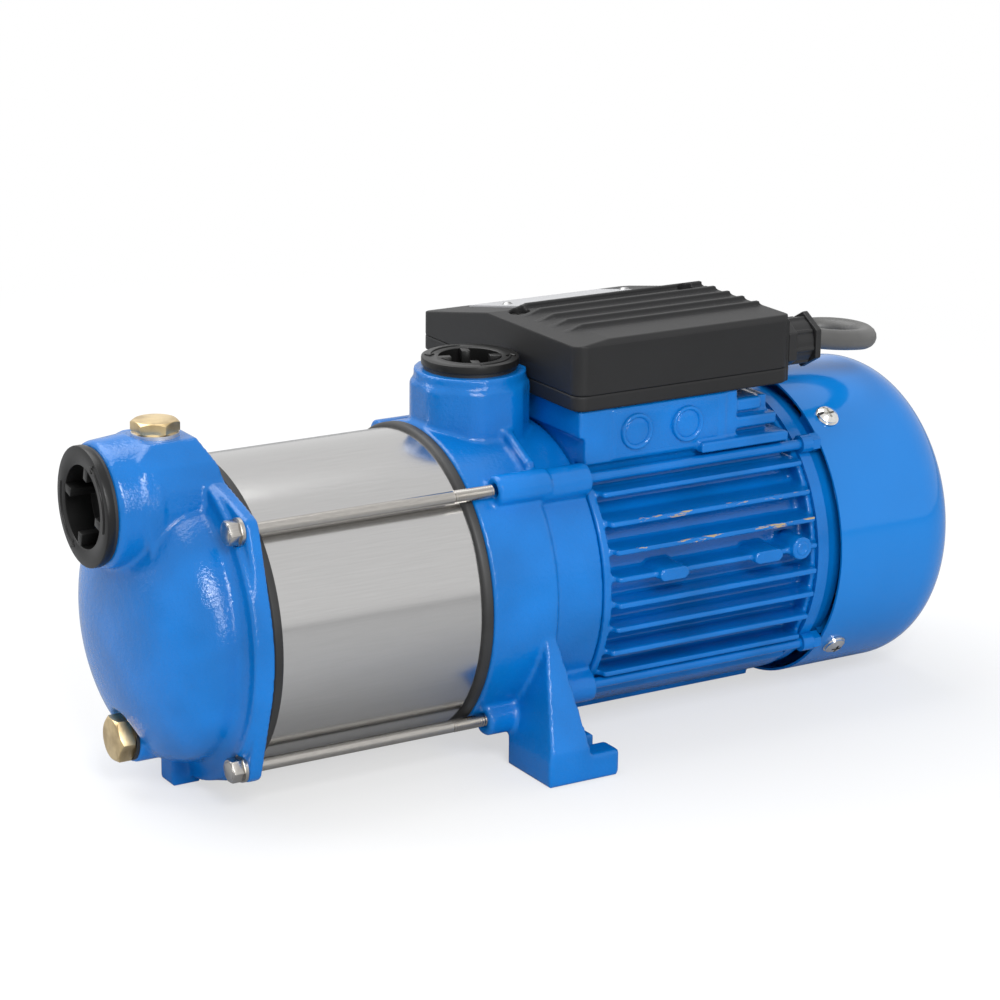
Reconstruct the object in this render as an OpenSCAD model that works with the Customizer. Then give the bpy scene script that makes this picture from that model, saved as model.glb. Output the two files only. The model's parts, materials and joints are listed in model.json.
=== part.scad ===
// Horizontal multistage surface pump, close coupled to a fan cooled motor.
// +X runs along the shaft from the suction end to the fan, +Z is up, and
// z = 0 is the floor. x = 0 is the centre of the two foot slots.

/* [Pump end] */
// Height of the shaft above the floor
shaft_height = 77; // [77:1:90]
// Outside diameter of the steel casing
casing_od = 142; // [138:1:146]
// Length of one pumping stage along the shaft
stage_pitch = 22; // [20:0.5:26]
// Wall of the steel casing
casing_wall = 1.5; // [1:0.1:2]
// Outside diameter of the impellers
impeller_od = 104; // [90:1:108]
// Diameter of the casing tie rods
rod_d = 6; // [5:0.5:6]

/* [Ports] */
// Diameter over the thread of the suction port
suction_thread = 41.8; // [38:0.1:42]
// Diameter over the thread of the delivery port
delivery_thread = 33.2; // [30:0.1:34]
// Width across flats of the filling plug
fill_plug_af = 19; // [17:1:22]
// Width across flats of the drain plug
drain_plug_af = 19; // [14:1:20]

/* [Feet] */
// Width over the two main feet
foot_span = 186; // [182:1:200]
// Width of the open foot slots
slot_w = 9.5; // [8:0.5:11]
// Thickness of the foot plates
foot_t = 12; // [9:0.5:14]

/* [Motor] */
// Length of the finned motor housing
motor_len = 120; // [118:1:130]
// Diameter over the cooling fins
fin_od = 150; // [148:1:151]
// Outside diameter of the stator
stator_od = 110; // [106:1:112]
// Outside diameter of the fan cover
cover_od = 152; // [150:1:156]
// Length of the fan cover
cover_len = 75.4; // [70:0.2:85]

/* [Terminal box] */
// Length of the terminal box along the shaft
box_l = 119; // [110:1:125]
// Width of the terminal box across the shaft
box_w = 142; // [136:1:146]
// Height of the terminal box base
box_base_h = 7.5; // [6:0.5:9]
// Height of the near wall of the lid
lid_h = 25; // [24:0.1:28]

/* [Power cord] */
// Diameter of the rubber power cord
cord_d = 10; // [9:0.2:10.4]

/* [Hidden] */
$fn = 48;
stages = 4;
part_fit = 0.05;
key_l = 5.6;
key_w = 4;

// stations along the shaft
casing_r = casing_od / 2;
x_rim = -45;
gasket_w = 5;
x_casing_rear = x_rim - gasket_w;
casing_len = stages * stage_pitch + 12;
x_casing_front = x_casing_rear - casing_len;
xf = x_casing_front - gasket_w;
x_stack = xf + 12;
flange_r = casing_r + 3;
body_r = casing_r + 2.4;
flange_t = 9.5;
ear_t = 6.5;
ear_r = 6.5;
rod_pitch_r = casing_r + 5.65;
rod_off = rod_pitch_r / sqrt(2);
spigot_r = casing_r - 4.6;
chamber_r = spigot_r - 4.4;
cup_r = casing_r - 5;

// suction cover
bowl_r = casing_r - 6.7;
bowl_depth = 33.5;
bowl_wall = 5.8;
port_z = casing_r - 13;
port_r = 29.5;
port_x = xf - 50;
port_pad_z = port_z + 28;
fill_x = xf - 20;
fill_r = 8.3;
drain_z = -(casing_r - 19.5);
drain_x = xf - 35.5;
drain_r = 6.55;

// delivery port
out_x = -15.5;
out_rim_z = casing_r + 26;
out_bore = 13.5;

// lantern, seal and bearings
x_lantern = 15;
lantern_r = 70;
lug_r = 7.5;
bolt_r = 2.5;
bolt_up = [52.4, 52.4];
bolt_low = [59, -45];
x_bear = 3;
bear_w = 12;
rear_bear_w = 11;

// motor
x_motor_end = x_lantern + motor_len;
fin_r = fin_od / 2;
pad_h = 4.5;
motor_low = shaft_height - pad_h;
fin_z0 = 8.5;
fin_pitch = 12.2;
fin_t = 2.6;
root_r = 62;
stator_r = stator_od / 2;
air_r = 30;
rotor_r = 29.6;
x_core = x_lantern + 20;
core_len = motor_len - 50;
shield_t = 6;
x_shield = x_motor_end + shield_t;
x_rear_bear = x_motor_end - 8;
shield_rim_r = 69;
fan_r = 55;
pedestal_z = 84;
pedestal_y = 52;
pedestal_l = 87;
wire_l = 60;
wire_w = 72;

// fan and fan cover
cover_r = cover_od / 2;
cover_t = 1.2;
x_cover = x_shield + 4.6;
x_cover_end = x_cover + cover_len;
cover_round = 25;
screw_x = x_cover + 11;
screw_angles = [53.7, 126.3, 220.6, 319.4];

// terminal box
box_x0 = 8.8;
box_y0 = -54;
box_z0 = shaft_height + pedestal_z;
box_zj = box_z0 + box_base_h;
box_top = box_zj + lid_h;
ridge_y = box_y0 + 70;
far_drop = 14.2;
lid_bevel = 2.2;
lid_slope_l = 18;
lid_slope_drop = 2;
rib_h = 1.75;
box_t = 2.5;
box_x1 = box_x0 + box_l;
box_y1 = box_y0 + box_w;
gland_y = -40;
gland_z = box_zj + 8.6;
gland_l = 15.7;
block_x = box_x1 - 59;
rivet_xs = [box_x0 + 26.8, box_x0 + 93.8];
lid_screw_xs = [box_x0 + 12, box_x1 - 12];

// helpers on the shaft line
module on_shaft(x) {
  translate([x, 0, shaft_height]) rotate([0, 90, 0]) children();
}

module turned(pts) {
  on_shaft(0) rotate_extrude() polygon(points = pts);
}

module ring_x(x0, x1, ro, ri) {
  turned([[ri, x0], [ro, x0], [ro, x1], [ri, x1]]);
}

module bar_x(x0, x1, r, y, z) {
  translate([x0, y, shaft_height + z]) rotate([0, 90, 0]) cylinder(h = x1 - x0, r = r);
}

module hex_x(x0, x1, af, y, z) {
  translate([x0, y, shaft_height + z]) rotate([0, 90, 0])
    cylinder(h = x1 - x0, r = af / sqrt(3), $fn = 6);
}

module along_x(x0, x1) {
  translate([x0, 0, 0]) rotate([90, 0, 90]) linear_extrude(height = x1 - x0) children();
}

module along_y(y0, y1) {
  translate([0, y1, 0]) rotate([90, 0, 0]) linear_extrude(height = y1 - y0) children();
}

module rounded(x0, x1, y0, y1, r) {
  translate([x0 + r, y0]) square([x1 - x0 - 2 * r, y1 - y0]);
  translate([x0, y0 + r]) square([x1 - x0, y1 - y0 - 2 * r]);
  for (x = [x0 + r, x1 - r], y = [y0 + r, y1 - r]) {
    translate([x, y]) circle(r = r);
  }
}

// quarter of a rounded dome as radius and station pairs
function dome(r, d, x0, n, p) = [
  for (i = [0:n]) let (a = 90 * i / n) [r * pow(cos(a), 2 / p), x0 - d * pow(sin(a), 2 / p)]
];

// curved blade outline between two radii
function polar(r, a) = [r * cos(a), r * sin(a)];
function blade(r1, r2, sweep, t, n) = concat(
  [for (i = [0:n]) let (u = i / n, r = r1 + (r2 - r1) * u) polar(r, sweep * u)],
  [for (i = [n:-1:0]) let (u = i / n, r = r1 + (r2 - r1) * u) polar(r, sweep * u + 57.3 * t / r)]
);

module blades(count, x0, x1, r1, r2, sweep, t) {
  on_shaft(x0) for (k = [0:count - 1]) {
    rotate([0, 0, 360 * k / count])
      linear_extrude(height = x1 - x0) polygon(points = blade(r1, r2, sweep, t, 6));
  }
}

module rod_places() {
  for (y = [-rod_off, rod_off], z = [-rod_off, rod_off]) {
    translate([0, y, shaft_height + z]) children();
  }
}

module bolt_places() {
  for (s = [-1, 1], p = [bolt_up, bolt_low]) {
    translate([0, s * p[0], shaft_height + p[1]]) children();
  }
}

// suction end
ear_cos = (flange_r - ear_r) / rod_pitch_r;
ear_sin = sqrt(1 - ear_cos * ear_cos);

module ear_plate() {
  for (a = [45:90:315]) {
    rotate([0, 0, a]) {
      translate([rod_pitch_r, 0]) circle(r = ear_r);
      polygon(points = [
        [flange_r * ear_cos, flange_r * ear_sin],
        [rod_pitch_r + ear_r * ear_cos, ear_r * ear_sin],
        [rod_pitch_r + ear_r * ear_cos, -ear_r * ear_sin],
        [flange_r * ear_cos, -flange_r * ear_sin],
        [0, 0]
      ]);
    }
  }
}

module turned_port(pts) {
  translate([port_x, 0, shaft_height + port_z]) rotate([0, 90, 0]) rotate_extrude() polygon(points = pts);
}

module port_housing() {
  pz = shaft_height + port_pad_z;
  fz = shaft_height + casing_r;
  cz = shaft_height + port_z;
  intersection() {
    along_x(xf - 37, xf) polygon(points = [
      [-29, cz - 34], [-port_r, cz], [-28, cz + 10], [-24, cz + 19], [-14, pz],
      [14, pz], [24, cz + 19], [28, cz + 10], [port_r, cz], [29, cz - 34]
    ]);
    along_y(-40, 40) polygon(points = [
      [xf - 37, cz - 34], [xf - 37, pz - 5], [xf - 28, pz + 1], [xf - 7, pz + 1], [xf - 1, fz + 3.5],
      [xf, fz - 3], [xf, cz - 34]
    ]);
  }
}

module suction_cover() color("dodgerblue") difference() {
  union() {
    on_shaft(xf - ear_t) linear_extrude(height = ear_t) ear_plate();
    on_shaft(xf - flange_t) cylinder(h = flange_t, r = flange_r);
    turned(concat(
      [[0, xf - 5], [flange_r - 5, xf - 5], [flange_r - 5, xf - flange_t], [bowl_r + 1.5, xf - 11]],
      dome(bowl_r, bowl_depth, xf - 12.5, 14, 2.4)
    ));
    port_housing();
    turned_port([[0, 0], [27.2, 0], [28.3, 2], [30, 20], [0, 20]]);
    bar_x(drain_x, xf - 18, 12, 0, drain_z);
    translate([xf - 18, -6.5, 0]) cube([14, 13, shaft_height - bowl_r + 5]);
    ring_x(xf - 3, x_stack, spigot_r, chamber_r - 2);
  }
  turned(concat([[0, xf - 7], [chamber_r - 2, xf - 7]],
    dome(bowl_r - bowl_wall, bowl_depth - 1, xf - 8, 12, 2.4)));
  on_shaft(xf - 8) cylinder(h = 30, r = chamber_r - 2);
  bar_x(port_x - 5, port_x + 14, suction_thread / 2, 0, port_z);
  bar_x(port_x + 10, xf - 12, 18, 0, port_z);
  translate([fill_x, 0, shaft_height + port_z]) cylinder(h = 50, r = fill_r + part_fit);
  translate([fill_x, 0, shaft_height + port_pad_z]) cylinder(h = 12, r = fill_r + 4.1);
  bar_x(drain_x - 20, xf - 17, drain_r + part_fit, 0, drain_z);
  bar_x(drain_x - 20, drain_x, 13, 0, drain_z);
  rod_places() translate([xf - 30, 0, 0]) rotate([0, 90, 0]) cylinder(h = 60, r = rod_d / 2 + 0.3);
  rod_places() translate([xf - ear_t - 9, 0, 0]) rotate([0, 90, 0]) cylinder(h = 9, r = 6.3);
}

// screw caps, drawn open side up on z = 0 and placed by their ports
module port_cap(flange, stem, recess, depth, key_a) {
  difference() {
    union() {
      cylinder(h = 4, r = flange);
      translate([0, 0, -depth]) cylinder(h = depth + 1, r = stem);
    }
    translate([0, 0, 3 - depth]) cylinder(h = depth + 2, r = recess);
  }
  for (k = [0:3]) {
    rotate([0, 0, key_a + 90 * k]) translate([recess - key_l, -key_w / 2, 2 - depth])
      cube([key_l + 0.5, key_w, depth + 1.9]);
  }
}

module suction_port_cap() color("dimgray") {
  translate([port_x - 1.5, 0, shaft_height + port_z]) rotate([0, -90, 0])
    port_cap(27, suction_thread / 2 - part_fit, suction_thread / 2 - 2.3, 12, 76);
}

module suction_cap_seal() color("black") {
  translate([port_x, 0, shaft_height + port_z]) rotate([0, -90, 0]) difference() {
    cylinder(h = 1.5, r = 26);
    translate([0, 0, -1]) cylinder(h = 4, r = suction_thread / 2 + 0.1);
  }
}

module delivery_port_cap() color("dimgray") {
  translate([out_x, 0, shaft_height + out_rim_z + 1.5])
    port_cap(22.6, delivery_thread / 2 - part_fit, delivery_thread / 2 - 2, 12, 71);
}

module delivery_cap_seal() color("black") {
  translate([out_x, 0, shaft_height + out_rim_z]) difference() {
    cylinder(h = 1.5, r = 21.5);
    translate([0, 0, -1]) cylinder(h = 4, r = delivery_thread / 2 + 0.1);
  }
}

module hex_plug(af, head, stem_r, stem) {
  cylinder(h = head - 1, r = af / sqrt(3), $fn = 6);
  translate([0, 0, head - 1]) cylinder(h = 1, r1 = af / 2, r2 = af / 2 - 0.8);
  translate([0, 0, -stem]) cylinder(h = stem + 1, r = stem_r);
}

module filling_plug() color("goldenrod") {
  translate([fill_x, 0, shaft_height + port_pad_z + 1.5]) hex_plug(fill_plug_af, 5.4, fill_r, 9.5);
}

module filling_plug_washer() color("dimgray") {
  translate([fill_x, 0, shaft_height + port_pad_z]) difference() {
    cylinder(h = 1.5, r = fill_r + 2.4);
    translate([0, 0, -1]) cylinder(h = 4, r = fill_r + 0.1);
  }
}

module drain_plug() color("goldenrod") {
  translate([drain_x - 1.5, 0, shaft_height + drain_z]) rotate([0, -90, 0])
    hex_plug(drain_plug_af, 7.4, drain_r, 8.5);
}

module drain_plug_washer() color("black") {
  translate([drain_x, 0, shaft_height + drain_z]) rotate([0, -90, 0]) difference() {
    cylinder(h = 1.5, r = drain_r + 4.4);
    translate([0, 0, -1]) cylinder(h = 4, r = drain_r + 0.1);
  }
}

// casing
module front_gasket() color("black") {
  turned([[casing_r - 4.5, xf], [body_r - 0.2, xf], [body_r - 0.2, x_casing_front],
    [casing_r, x_casing_front], [casing_r, xf + 2], [casing_r - casing_wall, xf + 2],
    [casing_r - casing_wall, x_casing_front], [casing_r - 4.5, x_casing_front]]);
}

module rear_gasket() color("black") {
  turned([[casing_r - 4.5, x_rim], [body_r - 0.2, x_rim], [body_r - 0.2, x_casing_rear],
    [casing_r, x_casing_rear], [casing_r, x_rim - 2], [casing_r - casing_wall, x_rim - 2],
    [casing_r - casing_wall, x_casing_rear], [casing_r - 4.5, x_casing_rear]]);
}

module casing_sleeve() color("silver") {
  ring_x(xf + 2, x_rim - 2, casing_r, casing_r - casing_wall);
}

module tie_rods() color("lightgray") rod_places() {
  head = xf - ear_t - 1.5;
  translate([head, 0, 0]) rotate([0, 90, 0]) cylinder(h = x_rim + 20 - head, r = rod_d / 2);
  translate([head - 4, 0, 0]) rotate([0, 90, 0]) cylinder(h = 4, r = 5.77, $fn = 6);
  translate([head - 6, 0, 0]) rotate([0, 90, 0]) cylinder(h = 2, r1 = 3.6, r2 = 5);
}

module tie_rod_washers() color("lightgray") rod_places() {
  translate([xf - ear_t - 1.5, 0, 0]) rotate([0, 90, 0]) difference() {
    cylinder(h = 1.5, r = 6.2);
    translate([0, 0, -1]) cylinder(h = 4, r = rod_d / 2 + 0.2);
  }
}

// pumping stages
module stage_cups() color("lightgray") for (i = [0:stages - 1]) {
  xi = x_stack + i * stage_pitch;
  xe = xi + stage_pitch - 0.1;
  turned([[21.4, xi], [cup_r, xi], [cup_r, xe], [cup_r - 2, xe], [cup_r - 2, xi + 2], [21.4, xi + 2]]);
}

module stage_diffusers() color("ivory") for (i = [0:stages - 1]) {
  xi = x_stack + i * stage_pitch;
  ring_x(xi + 13.5, xi + 15, cup_r - 6, 12.5);
  blades(8, xi + 15, xi + stage_pitch - 0.1, 24, cup_r - 7.5, 55, 2);
  blades(8, xi + 2.2, xi + 14.6, cup_r - 9, cup_r - 2.3, 10, 2.5);
}

module impellers() color("ivory") for (i = [0:stages - 1]) {
  xi = x_stack + i * stage_pitch;
  ir = impeller_od / 2;
  ring_x(xi + 0.4, xi + 4.5, 21, 18.5);
  ring_x(xi + 3, xi + 4.5, ir, 20);
  difference() {
    union() {
      ring_x(xi + 1, xi + 0.9 + stage_pitch, 12, 7);
      ring_x(xi + 10.5, xi + 12, ir, 11);
    }
    translate([xi - 1, -2, shaft_height]) cube([stage_pitch + 4, 4, 8.6]);
  }
  blades(6, xi + 4, xi + 11, 22, ir - 1.5, 80, 2);
}

module impeller_key() color("gray") {
  translate([x_stack + 3, -2, shaft_height + 4.5]) cube([stages * stage_pitch - 4, 4, 4.1]);
}

module impeller_nut() color("silver") difference() {
  hex_x(x_stack - 7, x_stack + 1, 19, 0, 0);
  on_shaft(x_stack - 9) cylinder(h = 20, r = 6);
}

x_hubs = x_stack + 0.9 + stages * stage_pitch;

module pump_shaft() color("silver") difference() {
  turned([
    [0, x_stack - 10], [5, x_stack - 10], [6, x_stack - 9], [6, x_stack + 1], [7, x_stack + 1],
    [7, -1.6], [8.5, -1.6], [8.5, x_bear + bear_w], [10, x_bear + bear_w], [10, x_rear_bear],
    [7.5, x_rear_bear], [7.5, x_rear_bear + rear_bear_w], [6, x_rear_bear + rear_bear_w],
    [6, x_shield + 39], [5, x_shield + 40], [0, x_shield + 40]
  ]);
  translate([x_stack + 3, -2, shaft_height + 4.5]) cube([stages * stage_pitch - 4, 4, 10]);
  ring_x(x_shield + 35.9, x_shield + 37.1, 8, 5.4);
}

module seal_spacer() color("silver") ring_x(x_hubs, -25, 10, 7);

module seal_rotary_head() color("gray") difference() {
  ring_x(-25, -11, 14, 7);
  ring_x(-21, -13, 15, 12.6);
}

module seal_carbon_ring() color("black") ring_x(-11, -9.05, 11.5, 8.2);

module seal_seat() color("white") ring_x(-9, -2, 13.2, 8.2);

// pump body with lantern, delivery port and main feet
leg_z = shaft_height - 13;
foot_in = foot_span / 2 - 37;
foot_out = foot_span / 2;

module leg_block() {
  intersection() {
    along_y(0, foot_out + 1) polygon(points = [
      [-27, 0], [-5, 0], [-5, foot_t], [-11.5, leg_z], [-17, leg_z], [-27, foot_t]
    ]);
    along_x(-30, 0) polygon(points = [
      [foot_in, 0], [foot_out, 0], [foot_out, foot_t + 4], [72, leg_z], [40, leg_z], [foot_in, foot_t]
    ]);
  }
}

module foot_plate() {
  difference() {
    linear_extrude(height = foot_t) rounded(-27, 11, foot_in, foot_out, 3);
    translate([0, (foot_in + foot_out) / 2, -1]) cylinder(h = foot_t + 2, r = slot_w / 2);
    translate([0, (foot_in + foot_out - slot_w) / 2, -1]) cube([20, slot_w, foot_t + 2]);
  }
}

module pump_body() color("dodgerblue") difference() {
  union() {
    turned([
      [9, -2], [chamber_r - 1, -2], [chamber_r - 1, x_casing_rear - 5], [spigot_r, x_casing_rear - 5],
      [spigot_r, x_rim], [body_r, x_rim], [body_r, -12], [lantern_r, -9], [lantern_r, x_lantern],
      [64, x_lantern], [64, 4], [26, 4], [26, x_lantern], [9, x_lantern]
    ]);
    ring_x(-9, 0, 16, 9);
    translate([out_x, 0, shaft_height + 55]) intersection() {
      cylinder(h = out_rim_z - 61, r = 27.9);
      rotate([0, 0, 22.5]) cylinder(h = out_rim_z - 61, r = 29.2, $fn = 8);
    }
    translate([out_x, 0, shaft_height + out_rim_z - 6]) cylinder(h = 2, r1 = 27, r2 = 26);
    translate([out_x, 0, shaft_height + out_rim_z - 4]) cylinder(h = 4, r = 26);
    for (s = [-1, 1]) {
      bar_x(x_rim + 10, -8, 7, s * rod_off, rod_off);
      bar_x(x_rim + 5.5, -8, 7.4, s * rod_off, -rod_off);
      bar_x(-11, x_lantern, lug_r, s * bolt_up[0], bolt_up[1]);
      bar_x(-11, x_lantern, lug_r, s * bolt_low[0], bolt_low[1]);
      translate([-14, s * 24, shaft_height + 71.5]) rotate([s * -27, 0, 0])
        translate([0, s < 0 ? -26 : 0, -8]) cube([5, 26, 11]);
    }
    leg_block();
    foot_plate();
    mirror([0, 1, 0]) leg_block();
    mirror([0, 1, 0]) foot_plate();
  }
  ring_x(x_casing_rear - 9, -2, chamber_r, 16.01);
  turned([[0, -20], [13.2, -20], [13.2, -2], [9, -2], [9, x_bear], [20, x_bear], [20, 30], [0, 30]]);
  on_shaft(-60) cylinder(h = 51, r = chamber_r - 1);
  translate([out_x, 0, shaft_height + 40]) cylinder(h = 80, r = out_bore);
  translate([out_x, 0, shaft_height + out_rim_z - 14]) cylinder(h = 30, r = delivery_thread / 2);
  rod_places() translate([x_rim - 5, 0, 0]) rotate([0, 90, 0])
    cylinder(h = 26, r = rod_d / 2 + part_fit);
  bolt_places() translate([x_bear, 0, 0]) rotate([0, 90, 0]) cylinder(h = 20, r = bolt_r + part_fit);
  translate([box_x0 - 0.3, -30, shaft_height + lantern_r + 0.5]) cube([10, 60, 30]);
}

// bearings
module bearing_outer(x, w, ro, pr, br) {
  difference() {
    ring_x(x, x + w, ro, pr + 1.7);
    on_shaft(x + w / 2) rotate_extrude() translate([pr, 0]) circle(r = br + part_fit);
  }
}

module bearing_inner(x, w, rb, pr, br) {
  difference() {
    ring_x(x, x + w, pr - 1.7, rb);
    on_shaft(x + w / 2) rotate_extrude() translate([pr, 0]) circle(r = br + part_fit);
  }
}

module bearing_balls(x, w, pr, br) {
  on_shaft(x + w / 2) for (a = [0:45:315]) {
    rotate([0, 0, a]) translate([pr, 0, 0]) sphere(r = br);
  }
}

module front_bearing_outer() color("silver") bearing_outer(x_bear, bear_w, 20, 14.25, 3.1);
module front_bearing_inner() color("silver") bearing_inner(x_bear, bear_w, 8.5, 14.25, 3.1);
module front_bearing_balls() color("gray") bearing_balls(x_bear, bear_w, 14.25, 3.1);
module rear_bearing_outer() color("silver") {
  bearing_outer(x_rear_bear, rear_bear_w, 17.5, 12.5, 2.7);
}
module rear_bearing_inner() color("silver") {
  bearing_inner(x_rear_bear, rear_bear_w, 7.5, 12.5, 2.7);
}
module rear_bearing_balls() color("gray") bearing_balls(x_rear_bear, rear_bear_w, 12.5, 2.7);

// motor
module fins() {
  for (k = [-4:3]) {
    z = fin_z0 + fin_pitch * k;
    y = sqrt(fin_r * fin_r - z * z);
    translate([0, 0, shaft_height + z]) linear_extrude(height = fin_t, center = true) polygon(points = [
      [x_lantern + 3, -y + 9], [x_lantern + 6, -y], [x_motor_end - 3, -y], [x_motor_end - 1, -y + 5],
      [x_motor_end - 1, y - 5], [x_motor_end - 3, y], [x_lantern + 6, y], [x_lantern + 3, y - 9]
    ]);
  }
}

module step_block(x, l, half_w, z, h) {
  translate([x, -half_w, shaft_height + z]) cube([l, 2 * half_w, h]);
}

module motor_shell() {
  on_shaft(x_lantern) cylinder(h = motor_len, r = root_r);
  on_shaft(x_lantern) cylinder(h = 4, r = 71);
  on_shaft(x_motor_end - 3) cylinder(h = 3, r = 70);
  fins();
  intersection() {
    on_shaft(x_lantern) cylinder(h = motor_len, r = motor_low - 0.1);
    translate([x_lantern, -47, 0]) cube([motor_len, 94, shaft_height - 51]);
  }
  translate([x_lantern + 2, -20, pad_h]) cube([motor_len - 4, 40, 20]);
  translate([x_lantern + 2, -48.5, shaft_height + 40]) cube([motor_len - 9, 97, 20]);
  step_block(x_lantern, pedestal_l - 3, pedestal_y, 58, pedestal_z - 58);
  step_block(x_lantern - 3, pedestal_l, pedestal_y, lantern_r + 1, pedestal_z - lantern_r - 1);
  step_block(x_lantern + 15, pedestal_l - 25, pedestal_y + 0.8, 60, pedestal_z - 62);
  step_block(x_lantern + 80, 24, pedestal_y - 5, 45, 33);
  step_block(x_lantern + 80, 18.5, pedestal_y - 1, 72.5, 6);
  step_block(x_lantern + 80, 27, pedestal_y, 64.5, 5.5);
  step_block(x_lantern + 62, 49, pedestal_y + 4, 56.5, 5);
  for (s = [-1, 1]) {
    for (x = [x_lantern + 34, x_lantern + 87]) {
      translate([x, s * 70, shaft_height + fin_z0]) rotate([90, 0, 0]) {
        cube([10, 6, 15], center = true);
        for (e = [-5, 5]) {
          translate([e, 0, 0]) cylinder(h = 15, r = 3, center = true);
        }
      }
    }
    translate([x_lantern + 106, s * 62, shaft_height + fin_z0 + 1]) rotate([s * -90, 0, 0])
      cylinder(h = 15.5, r = 5.5);
  }
}

module motor_housing() color("dodgerblue") difference() {
  motor_shell();
  on_shaft(x_lantern - 5) cylinder(h = motor_len + 10, r = stator_r);
  translate([x_lantern + 10, -wire_w / 2, shaft_height + 50]) cube([wire_l, wire_w, 50]);
  for (x = [x_lantern + 27, x_lantern + 55], s = [-1, 1]) {
    translate([x, s * (pedestal_y - 0.6), shaft_height + 71.5]) rotate([90, 0, 0])
      translate([0, 0, s < 0 ? 0 : -3]) difference() {
        cylinder(h = 3, r = 8.6);
        translate([0, 0, -1]) cylinder(h = 5, r = 7.4);
      }
  }
  for (s = [-1, 1]) {
    translate([x_lantern + 106, s * 79, shaft_height + fin_z0 + 1]) rotate([90, 0, 0])
      cylinder(h = 6, r = 1.6, center = true);
  }
}

module slot_shape() {
  polygon(points = [
    [31, -1], [33, -1], [34, -2.6], [46, -4], [46, 4], [34, 2.6], [33, 1], [31, 1]
  ]);
}

module slot_fill() {
  polygon(points = [[34.3, -2.4], [45.7, -3.7], [45.7, 3.7], [34.3, 2.4]]);
}

module stator_core() color("gray") difference() {
  on_shaft(x_core) cylinder(h = core_len, r = stator_r);
  on_shaft(x_core - 1) cylinder(h = core_len + 2, r = air_r);
  on_shaft(x_core - 1) for (a = [0:15:345]) {
    rotate([0, 0, a]) linear_extrude(height = core_len + 2) union() {
      slot_shape();
      translate([29, -1]) square([3, 2]);
    }
  }
}

module stator_winding() color("sienna") {
  on_shaft(x_core) for (a = [0:15:345]) {
    rotate([0, 0, a]) translate([0, 0, -4]) linear_extrude(height = core_len + 8) slot_fill();
  }
  for (x = [x_core - 16, x_core + core_len + 1]) {
    turned([
      [34, x + 3], [37, x], [48, x], [51, x + 3], [51, x + 12], [48, x + 15], [37, x + 15], [34, x + 12]
    ]);
  }
}

module rotor_core() color("gray") ring_x(x_core, x_core + core_len, rotor_r, 10);

module rotor_cage() color("silver") {
  for (x = [x_core - 6, x_core + core_len]) {
    ring_x(x, x + 6, rotor_r - 0.6, 19);
  }
}

module motor_end_shield() color("dodgerblue") difference() {
  union() {
    on_shaft(x_motor_end) cylinder(h = shield_t, r = 71.5);
    ring_x(x_shield - 1, x_cover + 4, shield_rim_r, shield_rim_r - 3);
    on_shaft(x_rear_bear - 3) cylinder(h = 12, r = 22);
    bolt_places() translate([x_motor_end, 0, 0]) rotate([0, 90, 0]) cylinder(h = shield_t, r = 4.3);
    for (a = screw_angles) {
      on_shaft(x_motor_end + 1) rotate([0, 0, a + 90]) translate([58, -6, 0])
        cube([10, 12, screw_x + 7 - x_motor_end]);
      on_shaft(x_shield + 6) rotate([0, 0, a + 90]) translate([60, -6, 0])
        cube([14, 12, screw_x + 2 - x_shield]);
    }
  }
  on_shaft(x_rear_bear - 5) cylinder(h = rear_bear_w + 5, r = 17.5);
  on_shaft(x_motor_end - 2) cylinder(h = 20, r = 7);
  bolt_places() translate([x_motor_end - 2, 0, 0]) rotate([0, 90, 0])
    cylinder(h = 20, r = bolt_r + part_fit);
  for (a = screw_angles) {
    on_shaft(screw_x) rotate([0, 0, a + 90]) translate([64, 0, 0]) rotate([0, 90, 0])
      cylinder(h = 20, r = 2.05);
  }
}

module motor_through_bolts() color("dodgerblue") bolt_places() {
  translate([x_bear + 1, 0, 0]) rotate([0, 90, 0]) cylinder(h = x_shield - x_bear, r = bolt_r);
  translate([x_shield, 0, 0]) rotate([0, 90, 0]) cylinder(h = 4, r = 4.6, $fn = 6);
}

module cooling_fan() color("black") {
  ring_x(x_shield + 11, x_shield + 35, 11, 6);
  ring_x(x_shield + 11, x_shield + 14, 34, 10);
  on_shaft(x_shield + 11) for (a = [0:45:315]) {
    rotate([0, 0, a]) translate([10, -1, 0]) cube([fan_r - 10, 2, 22]);
  }
}

module fan_clip() color("gray") difference() {
  ring_x(x_shield + 36, x_shield + 37, 8.2, 5.4);
  translate([x_shield + 30, -2, shaft_height]) cube([10, 4, 12]);
}

function cover_arc(r, c, rc, n) = [
  for (i = [0:n]) let (a = 90 * i / n) [r - rc + rc * cos(a), c - rc + rc * sin(a)]
];

module fan_cover() color("dodgerblue") difference() {
  turned(concat([[0, x_cover], [cover_r, x_cover]], cover_arc(cover_r, x_cover_end, cover_round, 10),
    [[0, x_cover_end]]));
  turned(concat([[0, x_cover - 1], [cover_r - cover_t, x_cover - 1]],
    cover_arc(cover_r - cover_t, x_cover_end - cover_t, cover_round - cover_t, 10),
    [[0, x_cover_end - cover_t]]));
  on_shaft(x_cover_end - 5) for (r = [18:9:45]) {
    for (a = [0:1:r / 9 * 3 - 1]) {
      rotate([0, 0, a * 360 / (r / 9 * 3)]) translate([r, 0, 0]) cylinder(h = 10, r = 3);
    }
  }
  for (a = screw_angles) {
    on_shaft(screw_x) rotate([0, 0, a + 90]) translate([60, 0, 0]) rotate([0, 90, 0])
      cylinder(h = 30, r = 2.3);
  }
}

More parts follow.
